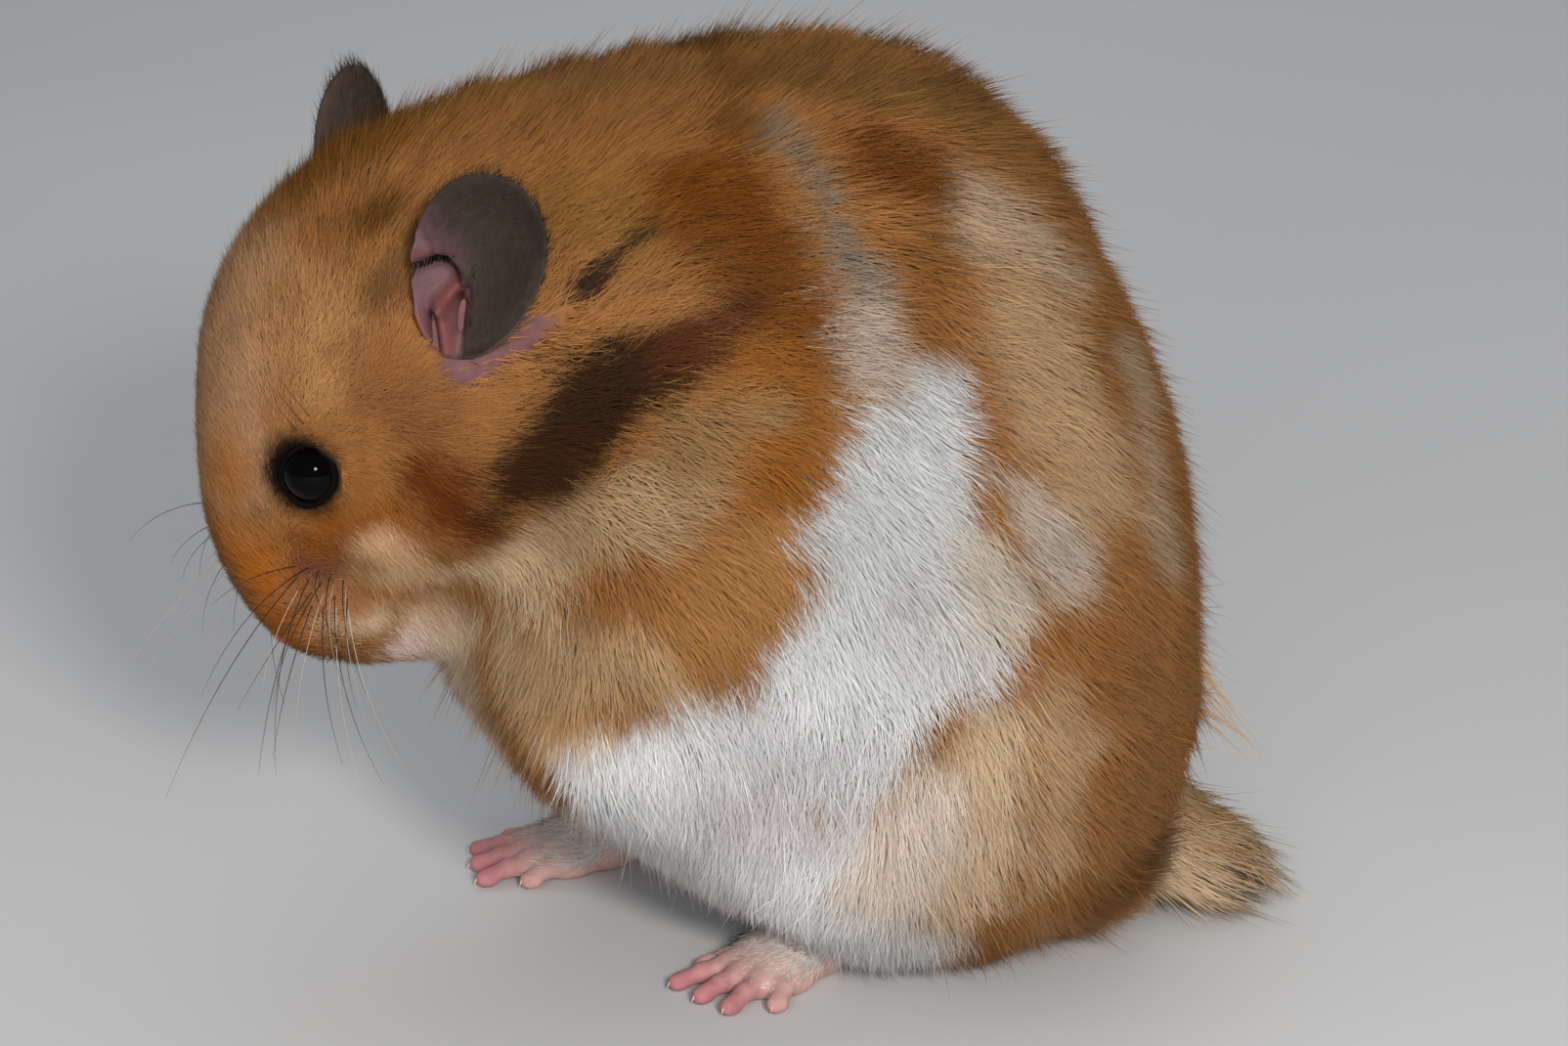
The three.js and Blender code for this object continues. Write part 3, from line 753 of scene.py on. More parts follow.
def nose_field(p):
    pad = blended(
        0.8,
        head_ellipsoid((32.6, 0, -9.6), (1.5, 1.7, 1.3)),
        *both_sides(lambda side: head_ellipsoid((32.5, 1.35, -9.9), (1.2, 0.95, 1.0), side)),
        head_ellipsoid((31.8, 0, -11.6), (1.5, 0.8, 1.6)),
    )(p)
    for _, side in SIDES:
        pad = np.maximum(pad, -head_ellipsoid((33.7, 1.0, -10.0), (0.75, 0.36, 0.4), side)(p))
    groove = limb(head_point(33.6, 0, -10.6), head_point(32.6, 0, -13.4), 0.16, 0.2)(p)
    return np.maximum(pad, -groove)


LID_REACH, LID_TOP, LID_BOTTOM = 2.42, 0.34, 0.28  # radius of the rim, thickness above and below


def lid_mesh(side, around=64, across=12):
    """A soft rim on the eye, drawn out to a corner towards the nose and one towards the ear."""
    outwards = unit(np.array([-0.5, side * 0.84, 0.1]))
    to_nose = FORWARD * 0.94 - CROWNWARD * 0.34
    to_nose = unit(to_nose - outwards * (to_nose @ outwards))
    upwards = np.cross(outwards, to_nose) * -side
    points = []
    for i in range(around):
        turn = 2 * math.pi * i / around
        c, s = math.cos(turn), math.sin(turn)
        reach = LID_REACH + 0.55 * max(c, 0) ** 6 + 0.2 * max(-c, 0) ** 6
        height = math.sqrt(max((EYE_RADIUS + 0.05) ** 2 - min(reach, 2.7) ** 2, 0.04))
        middle = EYES[side] + (to_nose * c + upwards * s * 0.96) * reach + outwards * height
        radial = to_nose * c + upwards * s
        thick = LID_TOP if s > 0 else LID_BOTTOM
        for j in range(across):
            roll = 2 * math.pi * j / across
            rim = radial * math.cos(roll) * 1.15 + outwards * math.sin(roll)
            points.append(middle + rim * thick)
    points = np.array(points)
    return points, facing_out(points, wall(around, across, closed=True))


# ---------------------------------------------------------------- ears

# Base, tip, and the way that the hollow faces.
EARS = {LEFT: ((-27.6, -15.4, 64.8), (-23.9, -19.3, 82.6), (-0.42, -0.9, 0.0)),
        RIGHT: ((-28.6, 14.6, 65.8), (-27.2, 17.0, 83.8), (-0.62, 0.78, 0.0))}
EAR_LENGTH, EAR_WIDTH, EAR_CUP, EAR_WIDENING = 18.0, 11.8, 2.4, 0.16

# Folds at the ear's root, each from one point to another in shares of half the ear (first number
# from the front edge, -1, to the back edge, 1; second from root to tip), then height and width in
# mm and colour.
EAR_FOLDS = (
    ((-0.17, -0.20), (-0.36, -0.48), 1.3, 0.75, "#6e403c"),  # lobe that guards the hearing canal
    ((-0.36, -0.48), (-0.10, -0.86), 1.3, 0.75, "#70433f"),
    ((-0.47, -0.60), (-0.28, -0.88), -0.9, 0.35, "#2d0d0d"),  # the groove before it, red darkened nearly black as painted shade
    ((-0.70, -0.60), (-0.40, -1.0), 0.8, 0.75, "#78494f"),  # fold that runs down to the cheek
    ((-1.0, -0.24), (-0.50, -0.07), -1.2, 0.45, "#2d0b0a"),  # the crease under the leaf (this row and the next), red darkened nearly black as painted shade
    ((-0.50, -0.07), (-0.24, -0.17), -1.2, 0.45, "#2d0b0a"),
    ((-0.98, -0.04), (-0.62, 0.05), 0.7, 0.6, "#623b3b"),  # the fold above the crease
    # a groove beside the lobe, painted dark red-brown as shade
    ((-0.12, -0.38), (0.0, -0.66), -0.5, 0.4, "#371817"),
)
LEAF_STEP = 1.2  # mm that the leaf stands over the hollow


def hollow_depth(a, b):
    """How far a place of the ear lies inside the hollow, beyond the bent edge of the leaf."""
    bend = 0.02 * np.sin(14 * b)
    return np.minimum(-0.265 - 0.5 * a - b, -0.16 * (b + 0.24) - a) + bend


def on_fold(a, b, fold):
    """1 on the line of a fold, falling off over its width."""
    half = np.array([EAR_WIDTH / 2, EAR_LENGTH / 2])
    start, way = np.array(fold[0]) * half, (np.array(fold[1]) - np.array(fold[0])) * half
    qx, qy = a * half[0] - start[0], b * half[1] - start[1]
    t = np.clip((qx * way[0] + qy * way[1]) / (way @ way), 0, 1)
    return np.exp(-((np.hypot(qx - t * way[0], qy - t * way[1]) / fold[3]) ** 2))


class Ear:
    """A cupped leaf; a and b are shares of half its width and length, as in the folds."""

    def __init__(self, side):
        base, tip, hollow = (np.array(v, float) for v in EARS[side])
        self.up = unit(tip - base)
        self.out = unit(hollow - self.up * (hollow @ self.up))
        self.back = np.cross(self.up, self.out) * -side  # towards the ear's back edge
        self.middle = (base + tip) / 2 - MIDDLE

    def local(self, p):
        q = p - self.middle
        return q @ self.back, q @ self.up, q @ self.out

    def ring(self, r, angle):
        """Places on the middle of the leaf, what the folds add to it, its thickness, a and b."""
        wide = (EAR_WIDTH / 2 - 0.25) * (1 + EAR_WIDENING * np.sin(angle))
        x, y = r * wide * np.cos(angle), r * (EAR_LENGTH / 2 - 0.2) * np.sin(angle)
        a, b = x / (EAR_WIDTH / 2), y / (EAR_LENGTH / 2)
        # the rim is rolled a little outwards at the back edge
        z = -EAR_CUP * (1 - r * r) + 0.45 * ramp(r, 0.8, 1.0) * np.maximum(np.cos(angle - 0.3), 0)
        lift = sum(fold[2] * on_fold(a, b, fold) for fold in EAR_FOLDS)
        step = ramp(-hollow_depth(a, b), -0.08, 0.03) * (1 - 0.8 * ramp(b, -0.2, 0.6))
        lift = lift + LEAF_STEP * step * ramp(-r, -1.0, -0.8)
        return x, y, z, lift, 0.5 + 0.5 * ramp(-b, 0.0, 0.9), a, b

    def mesh(self, rings, spokes):
        """Closed leaf: its hollow side from middle to rim, then its back from rim to middle."""
        angle = 2 * math.pi * np.arange(spokes) / spokes
        points, local = [], []
        for face, order in ((1, range(rings + 1)), (-1, range(rings, -1, -1))):
            for i in order:
                r = np.full(spokes, max(i / rings, 1e-3))
                x, y, z, lift, thick, a, b = self.ring(r, angle)
                rim = np.sqrt(1 - np.clip((r - 0.93) / 0.07, 0, 1) ** 2) * 0.8 + 0.2
                height = z + face * thick / 2 * rim + (lift if face == 1 else lift * 0.3)
                across = x[:, None] * self.back + y[:, None] * self.up
                points.append(self.middle + across + height[:, None] * self.out)
                local.append(np.stack([a, b, np.full(spokes, float(face))], 1))
        rows, points = len(points), np.concatenate(points)
        return points, facing_out(points, wall(rows, spokes)), np.concatenate(local)


LEAVES = {side: Ear(side) for _, side in SIDES}
STRIP = ((-31.0, -16.8, 65.0), (-21.0, -18.9, 69.8))  # bare skin below and behind the left ear


def bare_strip(p, side):
    """Distance in mm outside the bare strip below and behind an ear."""
    return limb(*(np.array(end) * [1, -side, 1] + MIDDLE for end in STRIP), 1.8, 0.8)(p)


def ear_tint(local):
    """Grey-brown leaf with a paler rim, mauve towards the hollow, whose folds are red and pink;
    painted shade, nearly black, lies in the grooves and the crease under the leaf.
    """
    a, b, face = local.T
    leaf, mauve, rim = rgb("#352c26"), rgb("#4d373b"), rgb("#786a58")
    back, flesh = rgb("#41352c"), rgb("#674d52")
    inner = hollow_depth(a, b)
    edge = np.hypot(a / (1 + EAR_WIDENING * b), b)
    front = mixed(leaf, mauve, ramp(inner, -0.45, -0.1) * ramp(-a, -0.1, 0.5))
    front = mixed(front, rim, ramp(edge, 0.9, 1.0) * 0.8 * ramp(a, 0.1, 0.5) * ramp(-b, -0.5, 0.3))
    back = mixed(back, flesh, ramp(-b, 0.5, 0.9))
    # the folds' colours, with painted shade in the grooves and the crease under the leaf
    for fold in EAR_FOLDS:
        flesh = mixed(flesh, rgb(fold[4]), on_fold(a, b, fold))
    front = mixed(front, flesh, ramp(inner, -0.03, 0.04))
    return np.where((face > 0)[:, None], front, back)


# ---------------------------------------------------------------- the skin

SKIN_BOX = ((-56, -33, -2), (58, 33, 92))
SKIN_CELL, FOOT_CELL, NOSE_CELL = 0.85, 0.36, 0.16  # mm between the mesh's points
BARE_TINT, PAW_TINT, NOSE_TINT = map(rgb, ("#6e4b4e", "#e8b3a6", "#c9776c"))


def build_skin():
    meshes, tints, bare = [], [], []

    def add(points, faces, tint, bareness):
        meshes.append((points, faces))
        tints.append(np.broadcast_to(tint, (len(points), 3)))
        bare.append(np.broadcast_to(bareness, len(points)))

    points, faces = surface_net(skin_field, *SKIN_BOX, SKIN_CELL)
    strip = np.minimum(bare_strip(points, LEFT), bare_strip(points, RIGHT))
    near_ear = np.min([distance_to(points, EAR_BASES[side]) for _, side in SIDES], axis=0)
    bareness = np.maximum(ramp(-strip, -2.0, -0.8), ramp(-near_ear, -4.5, -3.0))
    add(points, faces, BARE_TINT, bareness)
    for _, side in SIDES:
        points, faces = foot_net(side, FOOT_CELL)
        add(points, faces, foot_tint(points, side), 1.0)
        paw = paw_point(side, 0, 0, 0) - MIDDLE
        paw_net = surface_net(paw_field(side), paw - [7, 7, 7], paw + [8, 7, 8], FOOT_CELL)
        add(*paw_net, PAW_TINT, 1.0)
        points, faces, local = LEAVES[side].mesh(38, 96)
        add(points, faces, ear_tint(local), 1.0)
    nose = head_point(32.5, 0, -10.5) - MIDDLE
    add(*surface_net(nose_field, nose - [4, 4, 4], nose + [4, 4, 4], NOSE_CELL), NOSE_TINT, 1.0)

    points, faces = joined(*meshes)
    piece = mesh_piece("skin", points, faces, [SKIN])
    tips = points + vertex_normals(points, faces) * coat_depth(points)[:, None]
    set_attribute(piece, "coat_colour", coat_colour(tips, 0))
    set_attribute(piece, "bare", np.concatenate(bare))
    set_attribute(piece, "tint", np.concatenate(tints))
    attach(piece, "root")
    limbs = (f"{part}_{name}" for name, _ in SIDES
             for part in ("foreleg", "forepaw", "hind_leg", "hind_foot", "ear"))
    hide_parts("head", "neck", "trunk", "tail", *limbs)


build_skin()

# ---------------------------------------------------------------- eyes, lids and claws


def sphere(centre, radius, rows=40, around=64):
    polar = math.pi * np.arange(1, rows)[:, None] / rows
    turn = 2 * math.pi * np.arange(around) / around
    flat, rise = np.sin(polar), np.cos(polar) * np.ones(around)
    rings = np.stack([flat * np.cos(turn), flat * np.sin(turn), rise], 2)
    points, faces = pointed_tube(rings, (0, 0, 1), (0, 0, -1))
    return points * radius + centre, faces


for name, side in SIDES:
    ball = mesh_piece(f"eye_{name}_ball", *sphere(EYES[side], EYE_RADIUS), [WET_EYE])
    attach(ball, "root")
    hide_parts(f"eye_{name}")


def claw(root, tip, droop, radius, rows=8, around=8):
    """A curved horn cone from root to tip whose middle stands off a straight line by droop mm."""
    way = tip - root
    cross = unit(np.cross(way, [0, 0, 1.0]))
    rise = unit(np.cross(cross, way))
    t = (np.arange(rows) / rows)[:, None, None]
    turn = (2 * math.pi * np.arange(around) / around)[:, None]
    middle = root + way * t + rise * droop * 4 * t * (1 - t)
    rings = middle + radius * (1 - t) ** 0.8 * (cross * np.cos(turn) * 0.75 + rise * np.sin(turn))
    points, faces = pointed_tube(rings, root, tip)
    return points - MIDDLE, faces


def all_claws():
    claws = []
    for _, side in SIDES:
        for (kx, ky), (tx, ty) in TOES:
            on = np.array([tx - kx, ty - ky]) / math.hypot(tx - kx, ty - ky)
            root, tip = ((tx + on[0] * reach, ty + on[1] * reach, height)
                         for reach, height in ((0.3, 1.25), (0.95, 0.45)))
            claws.append(claw(foot_point(side, root), foot_point(side, tip), 0.12, 0.2))
        for y in FINGERS:
            root, tip = paw_point(side, 0.1, y, -4.5), paw_point(side, 1.4, y, -4.9)
            claws.append(claw(root, tip, 0.1, 0.26))
    return joined(*claws)


lids = mesh_piece("eyelids", *joined(*(lid_mesh(side) for _, side in SIDES)), [LID])
claw_piece = mesh_piece("claws", *all_claws(), [HORN])
for piece in (lids, claw_piece):
    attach(piece, "root")

# ---------------------------------------------------------------- how the coat lies

# The lie of the coat on the left side: place, then the way that the hair points.
LIE = (
    (-45, -6, 42, -0.28, -0.16, 0.95), (-48, -7, 49, -0.14, 0.03, 0.99),
    (-50, -4, 56, 0.05, 0.04, 1.0), (-48, -5, 67, 0.46, 0.14, 0.88),
    (-43, -3, 76, 0.69, 0.42, 0.58), (-34, 0, 82, 0.94, 0.18, 0.28),
    (-42, -12, 50, 0.88, -0.44, -0.18), (-37, -15, 52, 0.68, 0, -0.73),
    (-38, -15, 57, 0.9, -0.36, -0.25), (-42, -13, 62, 0.68, -0.21, 0.71),
    (-36, -13, 71, 0.32, -0.38, 0.87), (-36, -10, 42, 0.55, 0.3, -0.78),
    (-29, -16, 47, 0.83, -0.56, -0.05), (-21, -22, 49, 0.79, -0.51, -0.34),
    (-14, -25, 56, 0.9, -0.33, -0.27), (-32, -17, 61, 0.96, -0.28, 0.05),
    (-24, -20, 58, 0.87, -0.34, 0.36), (-18, -22, 64, 0.91, -0.28, 0.3),
    (-21, -19, 70, 0.88, -0.07, 0.47), (-19, -14, 80, 0.95, 0.09, 0.28),
    (-22, -2, 85, 0.99, 0.1, 0.1), (-6, -4, 86, 1, 0.03, 0.07), (8, -5, 86, 0.97, 0.03, -0.23),
    (15, -9, 83, 0.85, -0.13, -0.51), (-7, -22, 73, 0.99, -0.13, 0),
    (-6, -26, 63, 0.95, -0.21, -0.25), (-8, -28, 49, 0.63, -0.13, -0.77),
    (-28, -12, 36, 0.21, -0.3, -0.93), (-21, -21, 37, 0.41, -0.12, -0.9),
    (-14, -26, 42, 0.62, -0.1, -0.78), (2, -24, 70, 0.96, -0.06, -0.29),
    (2, -28, 58, 0.54, -0.16, -0.83), (-2, -29, 45, 0.32, -0.1, -0.94),
    (-9, -27, 34, 0.32, 0.02, -0.95), (-18, -21, 26, 0.35, 0.42, -0.83),
    (13, -17, 78, 0.88, 0.02, -0.48), (15, -22, 69, 0.82, 0.1, -0.56),
    (19, -26, 58, 0.63, -0.01, -0.77), (25, -27, 48, 0.5, 0.02, -0.87),
    (12, -30, 44, 0.37, -0.12, -0.92), (22, -30, 38, 0.38, 0.02, -0.93),
    (11, -32, 30, 0.16, 0.08, -0.98), (2, -30, 28, 0.01, 0.17, -0.99),
    (-1, -27, 18, 0.02, 0.48, -0.88), (8, -30, 18, 0.15, 0.35, -0.92),
    (23, -30, 19, 0.42, 0.62, -0.66), (30, -27, 19, 0.49, 0.59, -0.64), (32, 0, 60, 0.5, 0, -0.87),
    (42, 0, 40, 0.25, 0, -0.97), (44, -6, 20, 0.5, -0.3, -0.8), (36, -16, 6, 0.9, -0.1, -0.35),
    (46, -11, 4, 0.95, -0.15, -0.25), (0, 0, 4, 1, -0.2, -0.1), (20, 0, 2, 1, -0.1, 0),
    (-20, 0, 30, 0.4, 0, -0.9), (-30, 0, 40, 0.2, 0, -0.98), (-34, 0, 33, 0.9, 0, -0.4),
    (-41, -3, 36, -0.5, -0.5, 0.5),
)


def lie_of_coat(p, normal):
    """Way that the coat lies at places p, from the known ways around, laid on the surface."""
    known = np.array(LIE, float)
    known = np.concatenate([known, known * [1, -1, 1, 1, -1, 1]])
    ways = unit(known[:, 3:])
    apart = np.linalg.norm(p[:, None] - known[None, :, :3], axis=2)
    weight = 1 / (apart**2 + 14) ** 2
    return flattened(weight @ ways / weight.sum(1, keepdims=True), normal)


def turned(way, axis, angle):
    """Ways turned about unit axes by angles."""
    c, s = np.cos(angle)[:, None], np.sin(angle)[:, None]
    return way * c + np.cross(axis, way) * s + axis * dot(axis, way)[:, None] * (1 - c)


# ---------------------------------------------------------------- where the hairs are rooted

BODY, EAR_PART, FOOT_PART = 0, 1, 2
ROOT_CELL, FOOT_ROOT_CELL = 1.7, 1.1  # mm between the points of the coarse skin that carries roots


def root_mesh():
    """Coarse skin on which hairs are rooted, with each face's part and side."""
    meshes, part, side_of = [], [], []

    def add(points, faces, kind, side):
        meshes.append((points, faces))
        part.append(np.full(len(faces), kind))
        side_of.append(np.full(len(faces), side))

    add(*surface_net(skin_field, *SKIN_BOX, ROOT_CELL), BODY, 0)
    for _, side in SIDES:
        points, faces, _ = LEAVES[side].mesh(7, 24)
        add(points, faces, EAR_PART, side)
        add(*foot_net(side, FOOT_ROOT_CELL), FOOT_PART, side)
    points, faces = joined(*meshes)
    return points, faces, np.concatenate(part), np.concatenate(side_of)


def unwrapped(points, faces):
    """Each corner's place on an unwrap of the skin's own shape."""
    piece = mesh_piece("unwrap", points, faces, [])
    bpy.context.view_layer.objects.active = piece
    piece.select_set(True)
    bpy.ops.object.mode_set(mode="EDIT")
    bpy.ops.mesh.select_all(action="SELECT")
    bpy.ops.uv.smart_project(angle_limit=math.radians(66), island_margin=0.003)
    bpy.ops.object.mode_set(mode="OBJECT")
    mesh = piece.data
    uv = np.empty(len(mesh.loops) * 2, np.float32)
    mesh.uv_layers.active.data.foreach_get("uv", uv)
    bpy.data.objects.remove(piece)
    bpy.data.meshes.remove(mesh)
    return uv.reshape(len(faces), -1, 2)


def sample_roots(count, points, faces, weight):
    """Random places on quads, by area times weight: face numbers and shares of their corners."""
    a, b, c, d = (points[faces[:, i]] for i in range(4))
    first = np.linalg.norm(np.cross(b - a, c - a), axis=1)
    second = np.linalg.norm(np.cross(c - a, d - a), axis=1)
    running = np.cumsum(np.concatenate([first * weight, second * weight]))
    # evenly spaced draws over the running total keep the coat even
    draws = (np.arange(count) + rng.uniform(0, 1, count)) / count * running[-1]
    pick = np.minimum(np.searchsorted(running, draws), len(running) - 1)
    u, v = rng.uniform(0, 1, (2, count))
    over = u + v > 1
    u, v = np.where(over, 1 - u, u), np.where(over, 1 - v, v)
    lower = pick < len(faces)
    shares = [1 - u - v, np.where(lower, u, 0), np.where(lower, v, u), np.where(lower, 0, v)]
    return pick % len(faces), np.stack(shares, 1)


FACE_EXTRA, EYE_EXTRA, HIDDEN_SAVING = 1.6, 1.3, 0.75  # shares of the body's hairs per area


def body_density(p, normal):
    """Hairs per area: more on the face and around the eyes, fewer underneath, none on the floor."""
    density = 1 + FACE_EXTRA * (on_head(p) * ramp(head_forward(p), -14, 8))
    density *= 1 - HIDDEN_SAVING * (ramp(-normal[:, 2], 0.3, 0.9) * ramp(-p[:, 2], -12, -4))
    for _, side in SIDES:
        density *= 1 + EYE_EXTRA * ramp(-distance_to(p, EYES[side]), -8, -4)
    return density * (p[:, 2] > 0.8)


def eye_clear(side, p):
    return distance_to(p, EYES[side]) > EYE_RADIUS + 0.12


def ear_clear(side, p):
    """Whether places keep out of the hollow of the ear and the air before it."""
    a, b, out = LEAVES[side].local(p)
    r = np.hypot((a - 0.5) / (EAR_WIDTH / 2 * 0.92), (b - 0.5) / (EAR_LENGTH / 2 * 0.95))
    return (r > 1) | (out < -EAR_CUP * (1 - np.minimum(r, 1) ** 2) - 0.35) | (out > 4.5)


def foot_clear(side, p):
    """Whether places keep clear of the toes and the front half of the foot."""
    forward, inner = on_foot(side, p)
    return (forward < 10) | (np.abs(inner) > 6.5) | (forward > 21) | (p[:, 2] > 6.5)


STRIP_COVER = 0.28  # share of the hairs that grow over the bare strips


def grown_clear(root, middle, late, tip):
    """Whether hairs leave eyes, ears, feet and bare strips free."""
    keep = root[:, 2] > 0.3
    for _, side in SIDES:
        for place in (root, middle, late, tip):
            keep &= eye_clear(side, place)
        for place in (middle, late, tip):
            keep &= ear_clear(side, place)
        keep &= foot_clear(side, tip) & foot_clear(side, late)
        for place, gap in ((root, 1.0), (middle, 0.3), (late, -0.1)):
            keep &= (bare_strip(place, side) > gap) | (rng.uniform(size=len(root)) < STRIP_COVER)
    return keep


# ---------------------------------------------------------------- growing the hairs

BODY_HAIRS, EAR_HAIRS, FOOT_HAIRS = 352000, 9000, 16000
HAIR_RADIUS = 0.10  # mm, of a hair of the body at its root
EAR_HAIR_RADIUS, FOOT_HAIR_RADIUS = 0.035, 0.07
FACE_FINENESS, STRAY_FINENESS, LOCK_FINENESS = 0.32, 0.25, 0.3  # how much thinner hairs are there
BEND = 0.42  # share of a hair's length from root to its middle
LENGTH_PER_DEPTH, LEAST_LENGTH = 1.35, 0.9  # a hair's length by the coat's depth, and mm over that
TUFT_LENGTH = 9.0  # mm, of the tail's hairs
RAGGED = 0.9  # mm by which hairs stray over the edge between two colours
STRAY_SHARE = 0.10  # of the hairs, which stand out of the coat
SMALL_LOCKS, LARGE_LOCKS = (0.12, 0.25), (0.016, 0.14)  # locks per hair, pull towards their middle
TICKED_SHARE, TICKED_DARKNESS = 0.14, 0.55  # dark guard hairs on the upper side
# The thin lock that hangs from the rump over the tail: middle of its roots and the width over
# which they grow, then where its tips lie, its share of the hairs there, its colour and facing.
LOCK_ROOT, LOCK_WIDTH = np.array([41.0, -4.0, 27.0]), 6.5
LOCK_HIGH, LOCK_LOW = np.array([44.7, -4.0, 25.5]), np.array([55.3, -2.0, 8.4])
LOCK_SHARE, LOCK_COLOUR, LOCK_NORMAL = 0.045, "#ad8659", (-0.2, -0.9, 0.4)


def clump(root, middle, tip, share_of_seeds, strength):
    """Draws the tips of neighbouring hairs together into locks."""
    seeds = rng.choice(len(root), max(int(len(root) * share_of_seeds), 1), replace=False)
    tree = KDTree(len(seeds))
    for number, seed in enumerate(seeds):
        tree.insert(root[seed], number)
    tree.balance()
    nearest = seeds[np.fromiter((tree.find(p)[1] for p in root), int, len(root))]
    pull = strength[:, None]
    return middle + (middle[nearest] - middle) * pull * 0.45, tip + (tip[nearest] - tip) * pull


def grow_body(count, points, faces, uv):
    """Body hairs as root, middle and tip in mm, with the rest of what each carries."""

    def spread_of(width):
        return width * rng.normal(size=count)

    # what changes slowly is worked out on the coarse skin and carried over to each hair
    normal = tips_normal(points)
    lie = lie_of_coat(points + normal * 3.5, normal)
    depth = np.maximum(-tips_field(points), 0.35)
    weight = body_density(points, normal)[faces].mean(1)
    face, shares = sample_roots(count, points, faces, weight)

    def carried(values):
        return np.einsum("nk,nk...->n...", shares, values[faces[face]])

    root, normal, lie, depth = carried(points), unit(carried(normal)), carried(lie), carried(depth)
    lie = flattened(lie, normal)
    head = on_head(root) * ramp(head_forward(root), -14, 8)

    # which way each hair lies, how long it is and how steeply it leaves the skin
    sway = 0.18 * waves(root, 9, 1) + 0.22 * waves(root, 3.5, 2) * (1 - 0.5 * head)
    lie = turned(lie, normal, sway + spread_of(0.36))
    length = (LENGTH_PER_DEPTH * depth + LEAST_LENGTH) * np.exp(spread_of(0.16))
    length = length * (1 + 0.10 * waves(root, 5, 3))
    tuft = ramp(root[:, 0], 36, 42) * ramp(-root[:, 2], -13, -7) * (root[:, 1] < 3)
    length = np.maximum(length, TUFT_LENGTH * tuft * np.exp(spread_of(0.2)))[:, None]
    lean = np.clip(depth / length[:, 0] * (1 + spread_of(0.10)), 0.06, 0.8)[:, None]
    first_rise, last_rise = np.clip(1.4 * lean, 0, 0.94), np.clip(0.62 * lean, 0, 0.9)

    # the middle stays under the coat's surface and the tip comes back to it
    middle = root + BEND * length * (lie * np.sqrt(1 - first_rise**2) + normal * first_rise)
    over = tips_field(middle) + depth * 0.40
    normal_here = tips_normal(middle)
    middle -= normal_here * np.clip(over, -1.2, 4)[:, None] * 0.8
    way = flattened(lie, normal_here) * np.sqrt(1 - last_rise**2) + normal_here * last_rise
    tip = middle + (1 - BEND) * length * way
    ruffle = np.maximum(waves(root, 3.2, 8), 0) * ramp(root[:, 2], 60, 76) * (1 - head)
    wanted = depth * (-0.12 + spread_of(0.15) + 0.36 * ruffle)
    normal_tip = tips_normal(tip)
    tip -= normal_tip * np.clip(tips_field(tip) - wanted, -2.5, 6)[:, None] * 0.85

    share, pull = SMALL_LOCKS
    pull = pull * (1 - 0.45 * head) * (1 + 0.3 * waves(root, 6, 4))
    middle, tip = clump(root, middle, tip, share, pull)
    share, pull = LARGE_LOCKS
    middle, tip = clump(root, middle, tip, share, pull * (1 - 0.8 * head))
    stray = rng.uniform(size=count) < STRAY_SHARE
    reach = np.abs(spread_of(1.0)) * np.minimum(0.36 * depth, 1.7) * (1 - 0.4 * head) * stray
    tip += (normal_tip * 0.75 + lie * 0.9) * reach[:, None]

    # at the foot of the haunches the coat spreads over the floor
    spread = (ramp(root[:, 0], 18, 28) * ramp(-root[:, 2], -15, -7))[:, None]
    level_way = unit(normal_tip * [1, 1, 0], 0.3)
    tip += (level_way * 3.0 + [0.6, 0, -1.6]) * spread
    middle += level_way * 1.2 * spread

    lock = (distance_to(root, LOCK_ROOT) < LOCK_WIDTH) & (rng.uniform(size=count) < LOCK_SHARE)
    hang = LOCK_HIGH + rng.uniform(0, 1, count)[:, None] ** 1.3 * (LOCK_LOW - LOCK_HIGH)
    hang += 0.5 * (root - LOCK_ROOT) * [0, 1, 0] + 0.8 * rng.normal(size=(count, 3))
    tip = np.where(lock[:, None], hang, tip)

    low = 0.12 + 0.25 * rng.uniform(size=count)
    middle[:, 2] = np.maximum(middle[:, 2], low)
    tip[:, 2] = np.maximum(tip[:, 2], low)
    keep = grown_clear(root, middle, middle * 0.4 + tip * 0.6, tip)

    radius = HAIR_RADIUS * (1 - FACE_FINENESS * head) * np.exp(spread_of(0.18))
    radius *= 1 - STRAY_FINENESS * stray - LOCK_FINENESS * lock
    # clumps share part of their lightness
    shade = 0.5 + (0.22 + 0.12 * head) * spread_of(1.0)
    shade += 0.16 * waves(root, 1.6, 5) + 0.12 * waves(root, 5, 6)
    colour = coat_colour(middle * 0.45 + tip * 0.55, spread_of(RAGGED))
    ticked = rng.uniform(size=count) < TICKED_SHARE * ramp(root[:, 2], 55, 78)
    colour[ticked] *= TICKED_DARKNESS
    colour[lock] = rgb(LOCK_COLOUR)
    normal_tip[lock] = LOCK_NORMAL
    hairs = {"root": root, "middle": middle, "tip": tip, "radius": radius, "colour": colour,
             "shade": np.clip(shade, 0, 1), "normal": normal_tip,
             "uv": np.einsum("nk,nkc->nc", shares, uv[face])}
    return kept(hairs, keep)


